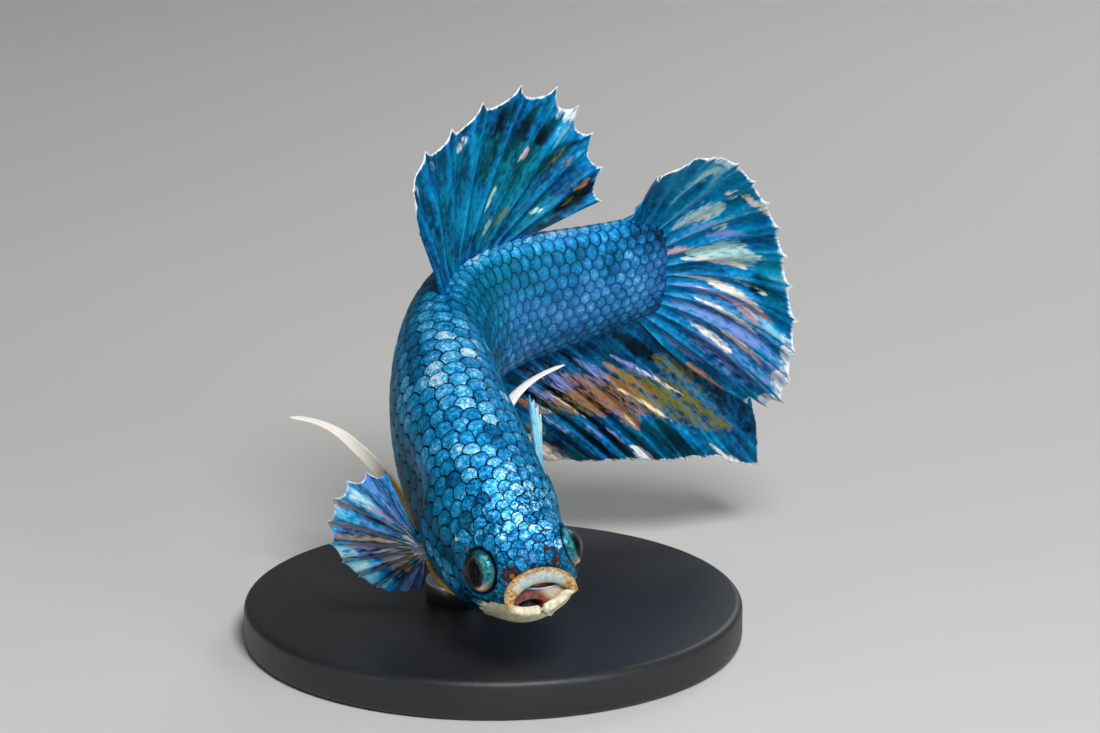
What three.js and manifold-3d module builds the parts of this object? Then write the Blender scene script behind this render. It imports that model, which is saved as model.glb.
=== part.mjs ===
// A betta fish turning in the water, life-size, held on a round display stand by one rod.
// Millimetres, +Z up. The origin is the centre of the stand's underside. The fish swims towards -Y,
// nose down, and its tail sweeps round to its own left, which is +X.
import * as THREE from "three";
import { mergeVertices } from "three/addons/utils/BufferGeometryUtils.js";
import Module from "manifold-3d";

const wasm = await Module();
wasm.setup();

// ---------------------------------------------------------------- driving dimensions
const standardLength = 42; // snout to the root of the tail fin, along the bent spine
const nosePitch = 23.3; // degrees that the plane of the bend is tipped, nose down
const headLift = 7.5; // degrees that the snout is raised out of that plane
const headLiftEnd = 12; // where along the spine the raised snout has faded out
const mouthTilt = 34; // degrees that the upturned mouth leans back
const mouthTiltEnd = 7; // where the leaning cross-sections are upright again
const mouthTiltPower = 1.3; // how fast they straighten
const spineAnchor = 20; // station of the spine that is placed by fishPlace
const fishPlace = [-3, 1.2, 15.1]; // where that station is, above the stand
const cutGap = 0.14; // a thin cut between two named lengths of flesh
const finGap = 0.12; // between a fin's root and the flesh
const finRoot = 0.8; // thickness of a fin slab at its root
const finEdge = 0.54; // and at its margin
const finSeat = 0.3; // how far under the skin the rays of a fin begin
const finSink = 1.2; // how much deeper its root starts, before it is cut clear
const ringSides = 26; // facets round the body
const ringStep = 1.35; // spacing of the rings along the body

// Distance along the spine, heading of the spine there in degrees. 0 points along +Y, 90 along +X.
const headings = [
  [0, -19], [6, -24], [12, -19], [17, -12], [21, -5.5],
  [25, 11], [29, 43], [33, 65], [37, 66.5], [42, 61],
];

// Distance along the spine, half width, height above the spine, depth below it.
const sections = [
  [0, 2.1, 1.55, 1.15], [1, 2.3, 2.0, 1.95], [2.5, 2.65, 2.65, 3.2], [4.5, 3.1, 3.5, 4.85],
  [7, 3.85, 4.45, 6.4], [10, 4.15, 5.3, 6.9], [14, 4.2, 6.1, 6.8], [19, 3.75, 6.4, 6.7],
  [24, 3.2, 6.2, 6.1], [30, 2.7, 5.6, 5.2], [36, 2.15, 4.8, 4.5], [42, 1.4, 4.15, 4.15],
];

// Lengths of flesh from snout to tail: name, first station, last station.
const fleshLengths = [
  ["head", 0.25, 9.6],
  ["trunk_front", 9.6, 18.5],
  ["trunk_middle", 18.5, 27],
  ["trunk_rear", 27, 35],
  ["tail_stalk", 35, 42],
];

const eye = {
  station: 3.6, side: 2.92, height: 0.35, rimRadius: 1.35, bulge: 0.9, gap: 0.1,
  lid: 0.3, skirt: 0.9, socketDepth: 1.5, rimDrop: 0.05,
};
// How far an eye looks outward, forward and upward.
const eyeLook = { outward: 0.88, forward: 0.33, upward: 0.32 };

const mouth = {
  halfWidth: 1.55, halfHeight: 0.92, depth: 2.3, raise: 0.15,
  lipRadius: 0.42, cornerRadius: 0.26, lipForward: 0.12, lipFrom: 8, lipTo: 172, lipGap: 0.05,
};
const jaw = { hingeStation: 4.4, hingeDrop: 4.4, cornerStation: 0.1, cornerDrop: 0.25, blockSize: 16 };
const gillCover = {
  station: 8.1, angle: 103, reach: 2.3, sweep: 37, proud: 0.12, thickness: 0.62,
  degreesPerMm: 15, // round the flank, for the clear gap at its edge
};

// A fan of rays. Each row: share of the way from the first ray to the last, ray length, sweep from the
// tailward line towards the fin's own side, further bend by the tip, lean to the fish's left, further
// lean by the tip.
const dorsalFin = {
  rays: 11, rows: 5, from: 23.6, to: 32, side: 1, scallop: 0.085,
  table: [
    [0, 3.6, 92, -4.5, -13, -6], [0.09, 7.6, 91, -4.5, -12, -6], [0.3, 9.8, 73, -4.5, -5, -2.5],
    [0.58, 12.4, 51.5, -4.5, 0.5, 0], [0.82, 9.9, 31, -5, -2, -1], [1, 6.8, 11.5, -6, -1, 0],
  ],
};
const analFin = {
  rays: 16, rows: 5, from: 20.2, to: 41, side: -1, scallop: 0.035,
  table: [
    [0, 5, 62, 8, 2, 3], [0.15, 8.2, 52, 9, 12, 8], [0.3, 11.2, 48, 9.3, 19.5, 9.7],
    [0.6, 13.1, 45, 9.3, 13, 6.5], [0.85, 14.5, 48.2, 12, 12, 6], [0.94, 16.7, 48.5, 12, 8, 5],
    [1, 13, 42, 11, 3, 3],
  ],
};
// The first rays of the tail fin are short and stand further forward, on the stalk's top edge.
const tailFin = {
  rays: 16, rows: 6, station: 41, spread: 3.9, scallop: 0.055,
  forward: 1.1, forwardShare: 0.07, forwardRise: 0.3,
  table: [
    [0, 2.4, 36, 10, 8, 5], [0.07, 8.4, 87.5, 16, 21, 18.5], [0.14, 10, 76, 13, 18, 19],
    [0.21, 10.6, 59, 19, 14.5, 20.5], [0.4, 10.4, 30.5, 14.5, 14.5, 26.5], [0.58, 10.4, 9, -12, 16.5, 29],
    [0.74, 12, -8, -36, 19, 31.5], [0.87, 12.4, -29, -25, 18, 29], [1, 10.8, -60, 26, 8, 24],
  ],
};
// Pectoral rays are swept from straight outward towards the back, and lean towards the tail.
const pectoralRight = {
  rays: 12, rows: 4, side: -1, station: 10.8, fromAngle: 94, toAngle: 122, scallop: 0.06,
  table: [
    [0, 4.1, 59, 0, 17, 0], [0.18, 5.6, 35, 0, 20, 0], [0.4, 6, 0, 0, 23, 0],
    [0.62, 5.2, -37, 0, 22, 0], [0.8, 4.5, -66, -2, 18, 0], [1, 3.5, -93, -1, 20, 0],
  ],
};
const pectoralLeft = {
  rays: 9, rows: 4, side: 1, station: 10.8, fromAngle: 94, toAngle: 122, scallop: 0.05,
  table: [
    [0, 8.4, 19, 0, 72, 3.5], [0.35, 8.7, 6, 1, 68, 2], [0.7, 8.5, -9, 2, 67, 1],
    [1, 8.1, -18.5, 2, 66, 1],
  ],
};
// A pelvic fin is one long blade: a narrow stem, a broad part from where its short rays end, a fine tip.
const pelvicBlade = {
  station: 9, angle: 153, steps: 18, sides: 8, width: 1.15, thickness: 0.56, thinnest: 0.5,
  stemWidth: 0.36, stemEnd: 0.3, broadStart: 0.46, taperStart: 0.5, tipWidth: 0.4,
};
// Degrees that it is turned outwards from the tailward line and raised, at even shares of its length.
const pelvicRight = {
  side: -1, length: 22.4, outward: [18, -6, -7, 8, 25, 73], rise: [-18, -3, 3, 3, 16, 5],
};
const pelvicLeft = {
  side: 1, length: 22.2, outward: [26, 11, 12, 42, 106], rise: [-16, 2, 11, 10, 15],
};

const stand = {
  radius: 16, height: 2.6, chamfer: 0.5, gap: 0.1, rodRadius: 1.1, rodStation: 15.5,
  collarRadius: 2.2, collarHeight: 1.4, collarClearance: 0.15,
};

// ---------------------------------------------------------------- small tools
const radians = THREE.MathUtils.degToRad;

// Smooth values at x from rows of [x, value, value...], passing through every row.
function smoothTable(rows, x) {
  const last = rows.length - 1;
  const at = THREE.MathUtils.clamp(x, rows[0][0], rows[last][0]);
  let i = 0;
  while (i < last - 1 && at >= rows[i + 1][0]) i += 1;
  const slope = (k, column) => (rows[k + 1][column] - rows[k][column]) / (rows[k + 1][0] - rows[k][0]);
  const tangent = (k, column) => {
    if (k === 0) return slope(0, column);
    if (k === last) return slope(last - 1, column);
    const before = rows[k][0] - rows[k - 1][0];
    const after = rows[k + 1][0] - rows[k][0];
    return (slope(k - 1, column) * after + slope(k, column) * before) / (before + after);
  };
  const width = rows[i + 1][0] - rows[i][0];
  const t = (at - rows[i][0]) / width;
  const values = [];
  for (let column = 1; column < rows[0].length; column += 1) {
    const start = rows[i][column] * (2 * t ** 3 - 3 * t ** 2 + 1);
    const end = rows[i + 1][column] * (3 * t ** 2 - 2 * t ** 3);
    const leaving = tangent(i, column) * width * (t ** 3 - 2 * t ** 2 + t);
    const arriving = tangent(i + 1, column) * width * (t ** 3 - t ** 2);
    values.push(start + end + leaving + arriving);
  }
  return values;
}

// The point base + a*u + b*v + c*w.
function offset(base, ...steps) {
  const point = base.clone();
  for (const [amount, direction] of steps) point.addScaledVector(direction, amount);
  return point;
}

// A closed geometry from vertices and triangles of vertex numbers.
function polyhedron(points, triangles) {
  const geometry = new THREE.BufferGeometry().setFromPoints(points);
  geometry.setIndex(triangles.flat());
  return geometry;
}

// A solid from rings of equal length, each end closed by a fan. Rings run anticlockwise seen from the
// first end.
function loft(rings) {
  const sides = rings[0].length;
  const points = rings.flat();
  const triangles = [];
  for (let r = 0; r < rings.length - 1; r += 1) {
    for (let k = 0; k < sides; k += 1) {
      const a = r * sides + k;
      const b = r * sides + ((k + 1) % sides);
      triangles.push([a, b, a + sides], [b, b + sides, a + sides]);
    }
  }
  for (const [ring, first] of [[rings[0], true], [rings.at(-1), false]]) {
    const centre = points.length;
    const start = first ? 0 : (rings.length - 1) * sides;
    points.push(ring.reduce((sum, p) => sum.add(p), new THREE.Vector3()).divideScalar(sides));
    for (let k = 0; k < sides; k += 1) {
      const a = start + k;
      const b = start + ((k + 1) % sides);
      triangles.push(first ? [b, a, centre] : [a, b, centre]);
    }
  }
  return polyhedron(points, triangles);
}

// A solid between two equal grids of points, the front one seen anticlockwise.
function slab(front, back) {
  const rows = front.length;
  const columns = front[0].length;
  const points = [...front.flat(), ...back.flat()];
  const at = (r, c, layer) => layer * rows * columns + r * columns + c;
  const triangles = [];
  for (let r = 0; r < rows - 1; r += 1) {
    for (let c = 0; c < columns - 1; c += 1) {
      const quad = [at(r, c, 0), at(r, c + 1, 0), at(r + 1, c + 1, 0), at(r + 1, c, 0)];
      const under = [at(r, c, 1), at(r + 1, c, 1), at(r + 1, c + 1, 1), at(r, c + 1, 1)];
      for (const q of [quad, under]) triangles.push([q[0], q[1], q[2]], [q[0], q[2], q[3]]);
    }
  }
  const wall = (r1, c1, r2, c2) => {
    const [a, b, c, d] = [at(r1, c1, 0), at(r1, c1, 1), at(r2, c2, 1), at(r2, c2, 0)];
    triangles.push([a, b, c], [a, c, d]);
  };
  for (let c = 0; c < columns - 1; c += 1) {
    wall(0, c, 0, c + 1);
    wall(rows - 1, c + 1, rows - 1, c);
  }
  for (let r = 0; r < rows - 1; r += 1) {
    wall(r + 1, 0, r, 0);
    wall(r, columns - 1, r + 1, columns - 1);
  }
  return polyhedron(points, triangles);
}

// A three.js geometry as a solid that can be joined and cut. It is turned right side out if need be.
function solidOf(geometry) {
  const bare = geometry.index ? geometry.clone() : mergeVertices(geometry);
  bare.deleteAttribute("normal");
  bare.deleteAttribute("uv");
  const merged = mergeVertices(bare, 1e-5);
  const make = (triVerts) =>
    new wasm.Manifold(
      new wasm.Mesh({ numProp: 3, vertProperties: merged.attributes.position.array, triVerts }),
    );
  const triangles = new Uint32Array(merged.index.array);
  const solid = make(triangles);
  if (solid.volume() > 0) return solid;
  for (let i = 0; i < triangles.length; i += 3) {
    [triangles[i + 1], triangles[i + 2]] = [triangles[i + 2], triangles[i + 1]];
  }
  return make(triangles);
}

// The largest body of a solid as a geometry, so that a cut leaves no crumbs.
function geometryOf(solid) {
  const bodies = solid.decompose().sort((a, b) => b.volume() - a.volume());
  const mesh = bodies[0].getMesh();
  const geometry = new THREE.BufferGeometry();
  const positions = new Float32Array(mesh.numVert * 3);
  for (let i = 0; i < mesh.numVert; i += 1) {
    positions.set(mesh.vertProperties.subarray(i * mesh.numProp, i * mesh.numProp + 3), i * 3);
  }
  geometry.setAttribute("position", new THREE.BufferAttribute(positions, 3));
  geometry.setIndex(new THREE.BufferAttribute(mesh.triVerts, 1));
  return geometry;
}

// A geometry moved so that its own X, Y and Z lie along three directions at a place.
function placed(geometry, place, x, y, z) {
  const matrix = new THREE.Matrix4().makeBasis(x, y, z).setPosition(place);
  return geometry.applyMatrix4(matrix);
}

// ---------------------------------------------------------------- spine and body surface
// Directions in the plane of the bend are (right, away, up), and this tips them nose down.
function tipped(right, away, up) {
  const pitch = radians(nosePitch);
  return new THREE.Vector3(
    right,
    away * Math.cos(pitch) - up * Math.sin(pitch),
    away * Math.sin(pitch) + up * Math.cos(pitch),
  );
}

// Directions of the body at a station: tailward, to the fish's left, and out of its back.
function directionsAt(station) {
  const heading = radians(smoothTable(headings, station)[0]);
  const lift = radians(headLift) * Math.max(0, 1 - station / headLiftEnd);
  const level = Math.cos(lift);
  const tail = tipped(Math.sin(heading) * level, Math.cos(heading) * level, -Math.sin(lift));
  const left = tipped(Math.cos(heading), -Math.sin(heading), 0);
  const back = new THREE.Vector3().crossVectors(left, tail);
  return { tail, left, back };
}

const spineStep = 0.25;
const spinePoints = [new THREE.Vector3()];
for (let station = 0; station < standardLength; station += spineStep) {
  const { tail } = directionsAt(station + spineStep / 2);
  spinePoints.push(offset(spinePoints.at(-1), [spineStep, tail]));
}
const anchorPoint = spinePoints[Math.round(spineAnchor / spineStep)].clone();
for (const point of spinePoints) point.sub(anchorPoint).add(new THREE.Vector3(...fishPlace));

// The spine point and the body's directions at a station, which may lie a little past either end.
function frameAt(station) {
  const inside = THREE.MathUtils.clamp(station, 0, standardLength - 1e-6);
  const i = Math.floor(inside / spineStep);
  const point = spinePoints[i].clone().lerp(spinePoints[i + 1], inside / spineStep - i);
  const directions = directionsAt(inside);
  point.addScaledVector(directions.tail, station - inside);
  return { point, ...directions };
}

// A point of the body's surface. The angle is 0 on the back, 90 on the left flank, 180 on the belly.
function bodyPoint(station, angle, grow = 0) {
  const { point, tail, left, back } = frameAt(station);
  const [half, up, down] = smoothTable(sections, station);
  const straightened = THREE.MathUtils.clamp(1 - station / mouthTiltEnd, 0, 1);
  const lean = radians(mouthTilt) * straightened ** mouthTiltPower;
  const rise = offset(new THREE.Vector3(), [Math.cos(lean), back], [Math.sin(lean), tail]);
  const height = Math.cos(radians(angle));
  const tall = (height > 0 ? up : down) + grow;
  return offset(point, [(half + grow) * Math.sin(radians(angle)), left], [tall * height, rise]);
}

function bodyRing(station, grow = 0) {
  const ring = [];
  for (let k = 0; k < ringSides; k += 1) ring.push(bodyPoint(station, (360 * k) / ringSides, grow));
  return ring;
}

// A length of the body as a solid.
function bodyLength(from, to, grow = 0) {
  const steps = Math.max(2, Math.round((to - from) / ringStep));
  const rings = [];
  for (let k = 0; k <= steps; k += 1) rings.push(bodyRing(from + ((to - from) * k) / steps, grow));
  return solidOf(loft(rings));
}

// ---------------------------------------------------------------- head
// The frame of an eye: the middle of its rim, where it looks, and two directions across it.
function eyeFrame(side) {
  const { point, tail, left, back } = frameAt(eye.station);
  const rim = offset(point, [side * eye.side, left], [eye.height, back]);
  const look = offset(
    new THREE.Vector3(),
    [side * eyeLook.outward, left], [-eyeLook.forward, tail], [eyeLook.upward, back],
  ).normalize();
  const across = new THREE.Vector3().crossVectors(look, back).normalize();
  const up = new THREE.Vector3().crossVectors(across, look);
  return { rim, look, across, up };
}

// An eyeball is the sphere whose cap stands out of the rim by the bulge.
const eyeRadius = (eye.rimRadius ** 2 / eye.bulge + eye.bulge) / 2;
const eyeSink = eyeRadius - eye.bulge;

function eyeBall(side, grow = 0) {
  const { rim, look } = eyeFrame(side);
  const ball = new THREE.SphereGeometry(eyeRadius + grow, 15, 9);
  const centre = offset(rim, [-eyeSink, look]);
  return solidOf(ball.translate(centre.x, centre.y, centre.z));
}

// The raised flesh round an eye, a low cone that ends at the rim.
function eyeSocket(side) {
  const { rim, look, across, up } = eyeFrame(side);
  const outline = [
    [0, -eye.socketDepth], [eye.rimRadius + eye.skirt, -eye.socketDepth],
    [eye.rimRadius + eye.lid, -eye.rimDrop], [0, -eye.rimDrop],
  ];
  const cone = new THREE.LatheGeometry(outline.map(([r, y]) => new THREE.Vector2(r, y)), 15);
  return solidOf(placed(cone, rim, across, look, up.clone().negate()));
}

// The frame of the mouth: the middle of its opening, the way it gapes, and up across it.
function mouthFrame() {
  const { point, tail, left, back } = frameAt(0);
  const lean = radians(mouthTilt);
  const gape = offset(new THREE.Vector3(), [-Math.cos(lean), tail], [Math.sin(lean), back]);
  const up = offset(new THREE.Vector3(), [Math.cos(lean), back], [Math.sin(lean), tail]);
  const middle = offset(point, [mouth.raise, up]);
  return { middle, gape, up, left };
}

// The shallow hollow of the open mouth.
function mouthHollow() {
  const { middle, gape, up, left } = mouthFrame();
  const hollow = new THREE.SphereGeometry(1, 14, 9).scale(mouth.halfWidth, mouth.halfHeight, mouth.depth);
  return solidOf(placed(hollow, middle, left, up, gape));
}

// The upper lip, a roll over the top of the opening that thins towards its corners.
function upperLip() {
  const { middle, gape, up, left } = mouthFrame();
  const rings = [];
  const steps = 10;
  const facets = 7;
  const wide = mouth.halfWidth + mouth.lipRadius;
  const tall = mouth.halfHeight + mouth.lipRadius;
  for (let k = 0; k <= steps; k += 1) {
    const angle = radians(THREE.MathUtils.lerp(mouth.lipFrom, mouth.lipTo, k / steps));
    const outward = offset(new THREE.Vector3(), [Math.cos(angle), left], [Math.sin(angle), up]);
    const arch = offset(middle, [wide * Math.cos(angle), left], [tall * Math.sin(angle), up]);
    const centre = offset(arch, [mouth.lipForward, gape]);
    const radius = THREE.MathUtils.lerp(mouth.cornerRadius, mouth.lipRadius, Math.sin(angle));
    const ring = [];
    for (let side = 0; side < facets; side += 1) {
      const turn = (2 * Math.PI * side) / facets;
      ring.push(offset(centre, [radius * Math.cos(turn), outward], [radius * Math.sin(turn), gape]));
    }
    rings.push(ring);
  }
  return solidOf(loft(rings));
}

// A block whose top face is the cut between the skull and the lower jaw.
function jawBlock(grow) {
  const { left } = frameAt(0);
  const corner = frameAt(jaw.cornerStation);
  const hinge = frameAt(jaw.hingeStation);
  const front = offset(corner.point, [-jaw.cornerDrop, corner.back]);
  const rear = offset(hinge.point, [-jaw.hingeDrop, hinge.back]);
  const along = rear.clone().sub(front).normalize();
  const up = new THREE.Vector3().crossVectors(left, along).normalize();
  const across = new THREE.Vector3().crossVectors(along, up);
  const size = jaw.blockSize;
  const block = new THREE.BoxGeometry(size, size, size).translate(0, 0, grow - size / 2);
  return solidOf(placed(block, front, across, along, up));
}

// A gill cover: an oval patch of the flank, from a little outside the skin to a little inside it.
function gillPlate(side, proud, thickness, grow) {
  const segments = 20;
  const circles = 2;
  const layer = (out) => {
    const points = [bodyPoint(gillCover.station, side * gillCover.angle, out)];
    for (let c = 1; c <= circles; c += 1) {
      for (let k = 0; k < segments; k += 1) {
        const turn = (2 * Math.PI * k) / segments;
        const share = c / circles;
        const reach = gillCover.reach + grow;
        const sweep = gillCover.sweep + gillCover.degreesPerMm * grow;
        const station = gillCover.station + reach * share * Math.cos(turn);
        const angle = gillCover.angle + sweep * share * Math.sin(turn);
        points.push(bodyPoint(station, side * angle, out));
      }
    }
    return points;
  };
  const outer = layer(proud);
  const inner = layer(-thickness);
  const triangles = [];
  const back = outer.length;
  const ringPoint = (c, k) => 1 + (c - 1) * segments + (k % segments);
  for (let k = 0; k < segments; k += 1) {
    triangles.push([0, ringPoint(1, k), ringPoint(1, k + 1)]);
    triangles.push([back, back + ringPoint(1, k + 1), back + ringPoint(1, k)]);
    for (let c = 1; c < circles; c += 1) {
      const [a, b] = [ringPoint(c, k), ringPoint(c, k + 1)];
      const [d, e] = [ringPoint(c + 1, k), ringPoint(c + 1, k + 1)];
      triangles.push([a, d, e], [a, e, b]);
      triangles.push([back + a, back + e, back + d], [back + a, back + b, back + e]);
    }
    const [a, b] = [ringPoint(circles, k), ringPoint(circles, k + 1)];
    triangles.push([a, back + a, back + b], [a, back + b, b]);
  }
  return solidOf(polyhedron([...outer, ...inner], triangles));
}

// ---------------------------------------------------------------- fins
// The line of one ray as points, from a sunk root through its base. Sweep turns it from along towards
// across, and lean turns it sideways.
function rayLine(root, base, along, across, sideways, [length, sweep, bend, lean, leanMore], rows) {
  const line = [root, base];
  for (let k = 0; k < rows; k += 1) {
    const share = (k + 0.5) / rows;
    const a = radians(sweep + bend * share);
    const b = radians(lean + leanMore * share);
    const step = length / rows;
    line.push(
      offset(
        line.at(-1),
        [step * Math.cos(a) * Math.cos(b), along],
        [step * Math.sin(a) * Math.cos(b), across],
        [step * Math.sin(b), sideways],
      ),
    );
  }
  return line;
}

// A fin as a slab: one column of points along each ray and one between neighbours, where the margin dips.
function finSlab(fin, rayAt, grow = 0) {
  const columns = 2 * (fin.rays - 1);
  const lines = [];
  for (let c = 0; c <= columns; c += 1) {
    const share = c / columns;
    const values = smoothTable(fin.table, share);
    if (c % 2) values[0] *= 1 - fin.scallop;
    lines.push(rayAt(share, values));
  }
  const front = [];
  const back = [];
  for (let c = 0; c <= columns; c += 1) {
    const before = lines[Math.max(0, c - 1)];
    const after = lines[Math.min(columns, c + 1)];
    const frontLine = [];
    const backLine = [];
    const last = lines[c].length - 1;
    for (let r = 0; r <= last; r += 1) {
      const along = lines[c][Math.min(r + 1, last)].clone().sub(lines[c][Math.max(0, r - 1)]);
      const across = after[r].clone().sub(before[r]);
      const normal = new THREE.Vector3().crossVectors(across, along).normalize();
      const half = THREE.MathUtils.lerp(finRoot, finEdge, r / last) / 2 + grow;
      frontLine.push(offset(lines[c][r], [half, normal]));
      backLine.push(offset(lines[c][r], [-half, normal]));
    }
    front.push(frontLine);
    back.push(backLine);
  }
  return solidOf(slab(front, back));
}

// The dorsal or the anal fin, on the ridge of the back or the keel of the belly.
function ridgeFin(fin, grow) {
  return finSlab(fin, (share, values) => {
    const station = THREE.MathUtils.lerp(fin.from, fin.to, share);
    const { tail, left, back } = frameAt(station);
    const outward = back.clone().multiplyScalar(fin.side);
    const base = offset(bodyPoint(station, fin.side > 0 ? 0 : 180), [-finSeat, outward]);
    const root = offset(base, [-finSink, outward]);
    return rayLine(root, base, tail, outward, left, values, fin.rows);
  }, grow);
}

function caudalFin(grow) {
  return finSlab(tailFin, (share, values) => {
    const forward = tailFin.forward * Math.max(0, 1 - share / tailFin.forwardShare);
    const { point, tail, left, back } = frameAt(tailFin.station - forward);
    const height = tailFin.spread * (1 - 2 * share) + tailFin.forwardRise * forward;
    const base = offset(point, [height, back]);
    const root = offset(base, [-finSink, tail]);
    return rayLine(root, base, tail, back, left, values, tailFin.rows);
  }, grow);
}

function pectoralFin(fin, grow) {
  return finSlab(fin, (share, values) => {
    const { tail, left, back } = frameAt(fin.station);
    const outward = left.clone().multiplyScalar(fin.side);
    const angle = THREE.MathUtils.lerp(fin.fromAngle, fin.toAngle, share);
    const base = offset(bodyPoint(fin.station, fin.side * angle), [-finSeat, outward]);
    const root = offset(base, [-finSink, outward]);
    return rayLine(root, base, outward, back, tail, values, fin.rows);
  }, grow);
}

// A value read from an even list at a share of its length.
function evenList(list, share) {
  const at = share * (list.length - 1);
  const i = Math.min(Math.floor(at), list.length - 2);
  return THREE.MathUtils.lerp(list[i], list[i + 1], at - i);
}

// Half the blade's width at a share of its length.
function bladeHalfWidth(share) {
  const { stemWidth, stemEnd, broadStart, taperStart, tipWidth } = pelvicBlade;
  const broadening = THREE.MathUtils.smoothstep(share, stemEnd, broadStart);
  const tapering = THREE.MathUtils.smoothstep(share, taperStart, 1);
  const stem = THREE.MathUtils.lerp(stemWidth, 1, broadening);
  const taper = THREE.MathUtils.lerp(1, tipWidth, tapering);
  return Math.max(pelvicBlade.width * stem * taper, pelvicBlade.thinnest) / 2;
}

function pelvicFin(fin) {
  const { tail, left, back } = frameAt(pelvicBlade.station);
  const outward = left.clone().multiplyScalar(fin.side);
  const point = bodyPoint(pelvicBlade.station, fin.side * pelvicBlade.angle);
  const rings = [];
  for (let k = 0; k <= pelvicBlade.steps; k += 1) {
    const share = k / pelvicBlade.steps;
    const a = radians(evenList(fin.outward, share));
    const b = radians(evenList(fin.rise, share));
    const along = offset(
      new THREE.Vector3(),
      [Math.cos(a) * Math.cos(b), tail], [Math.sin(a) * Math.cos(b), outward], [Math.sin(b), back],
    );
    const across = new THREE.Vector3().crossVectors(back, along).normalize();
    const up = new THREE.Vector3().crossVectors(along, across);
    const ring = [];
    for (let side = 0; side < pelvicBlade.sides; side += 1) {
      const turn = (2 * Math.PI * side) / pelvicBlade.sides;
      const half = bladeHalfWidth(share);
      const thick = pelvicBlade.thickness / 2;
      ring.push(offset(point, [half * Math.cos(turn), across], [thick * Math.sin(turn), up]));
    }
    rings.push(ring);
    point.addScaledVector(along, fin.length / pelvicBlade.steps);
  }
  return solidOf(loft(rings));
}

// ---------------------------------------------------------------- stand
function standBase() {
  const { radius, height, chamfer } = stand;
  const outline = [
    [0, 0], [radius - chamfer, 0], [radius, chamfer], [radius, height - chamfer],
    [radius - chamfer, height], [0, height],
  ];
  const disc = new THREE.LatheGeometry(outline.map(([r, z]) => new THREE.Vector2(r, z)), 44);
  return solidOf(disc.rotateX(Math.PI / 2));
}

function standRodFoot() {
  return bodyPoint(stand.rodStation, 180);
}

function standCollar() {
  const foot = standRodFoot();
  const inner = stand.rodRadius + stand.collarClearance;
  const outer = stand.collarRadius;
  const bottom = stand.height + stand.gap;
  const top = bottom + stand.collarHeight;
  const outline = [
    [inner, bottom], [outer, bottom], [outer, top - stand.chamfer],
    [outer - stand.chamfer, top], [inner, top], [inner, bottom],
  ];
  const ring = new THREE.LatheGeometry(outline.map(([r, z]) => new THREE.Vector2(r, z)), 24);
  return solidOf(ring.rotateX(Math.PI / 2).translate(foot.x, foot.y, 0));
}

function standRod(envelope) {
  const foot = standRodFoot();
  const bottom = stand.height + stand.gap;
  const intoBelly = 2;
  const length = foot.z + intoBelly - bottom;
  const rod = new THREE.CylinderGeometry(stand.rodRadius, stand.rodRadius, length, 20);
  rod.rotateX(Math.PI / 2).translate(foot.x, foot.y, bottom + length / 2);
  return solidOf(rod).subtract(envelope);
}

// ---------------------------------------------------------------- materials
function finish(color, roughness, metalness) {
  return new THREE.MeshStandardMaterial({ color, roughness, metalness });
}
const scaleBlue = finish(0x2f8fc4, 0.4, 0.35);
const jawCream = finish(0xcfc9a8, 0.55, 0);
const lipTan = finish(0xb08a55, 0.5, 0);
const finBlue = finish(0x1c5f96, 0.45, 0.1);
const finPale = finish(0xe6dcc4, 0.5, 0);
const eyeDark = finish(0x0a1418, 0.1, 0);
const standBlack = finish(0x17181a, 0.45, 0);
const standSteel = finish(0xb9bcc0, 0.3, 1);

// ---------------------------------------------------------------- assembly
const fish = new THREE.Group();
const displayStand = new THREE.Group();

function addPiece(group, name, solid, material) {
  const mesh = new THREE.Mesh(geometryOf(solid), material);
  mesh.name = name;
  group.add(mesh);
}

// Flesh: the head loses its sockets, gill slots, mouth and jaw, and the lengths part at thin cuts.
const [, headStart, headEnd] = fleshLengths[0];
const envelope = bodyLength(headStart, standardLength + finGap, finGap);
const sides = [["left", 1], ["right", -1]];
let skull = bodyLength(headStart, headEnd - cutGap / 2);
const gillSlot = (side) => gillPlate(side, 1, gillCover.thickness + cutGap, cutGap);
for (const [, side] of sides) {
  skull = skull.add(eyeSocket(side)).subtract(eyeBall(side, eye.gap)).subtract(gillSlot(side));
}
skull = skull.subtract(mouthHollow());
addPiece(fish, "lower_jaw", skull.intersect(jawBlock(-cutGap / 2)), jawCream);
skull = skull.subtract(jawBlock(cutGap / 2));
addPiece(fish, "head", skull, scaleBlue);
const headCleared = bodyLength(headStart, headEnd, mouth.lipGap);
addPiece(fish, "upper_lip", upperLip().subtract(headCleared).subtract(jawBlock(cutGap)), lipTan);
for (const [name, side] of sides) {
  addPiece(fish, `eye_${name}`, eyeBall(side), eyeDark);
  addPiece(fish, `gill_cover_${name}`, gillPlate(side, gillCover.proud, gillCover.thickness, 0), scaleBlue);
}
const gillSlots = gillSlot(1).add(gillSlot(-1));
for (const [name, from, to] of fleshLengths.slice(1)) {
  const length = bodyLength(from + cutGap / 2, to - cutGap / 2);
  addPiece(fish, name, length.subtract(gillSlots), scaleBlue);
}

// Fins: each is cut clear of the flesh and of the fins that pass in front of it.
addPiece(fish, "dorsal_fin", ridgeFin(dorsalFin).subtract(envelope), finBlue);
addPiece(fish, "caudal_fin", caudalFin().subtract(envelope), finBlue);
const analClear = ridgeFin(analFin).subtract(envelope).subtract(caudalFin(finGap));
addPiece(fish, "anal_fin", analClear, finBlue);
addPiece(fish, "pectoral_fin_right", pectoralFin(pectoralRight).subtract(envelope), finBlue);
addPiece(fish, "pectoral_fin_left", pectoralFin(pectoralLeft).subtract(envelope), finBlue);
addPiece(fish, "pelvic_fin_right", pelvicFin(pelvicRight).subtract(envelope), finPale);
addPiece(fish, "pelvic_fin_left", pelvicFin(pelvicLeft).subtract(envelope), finPale);

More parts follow.
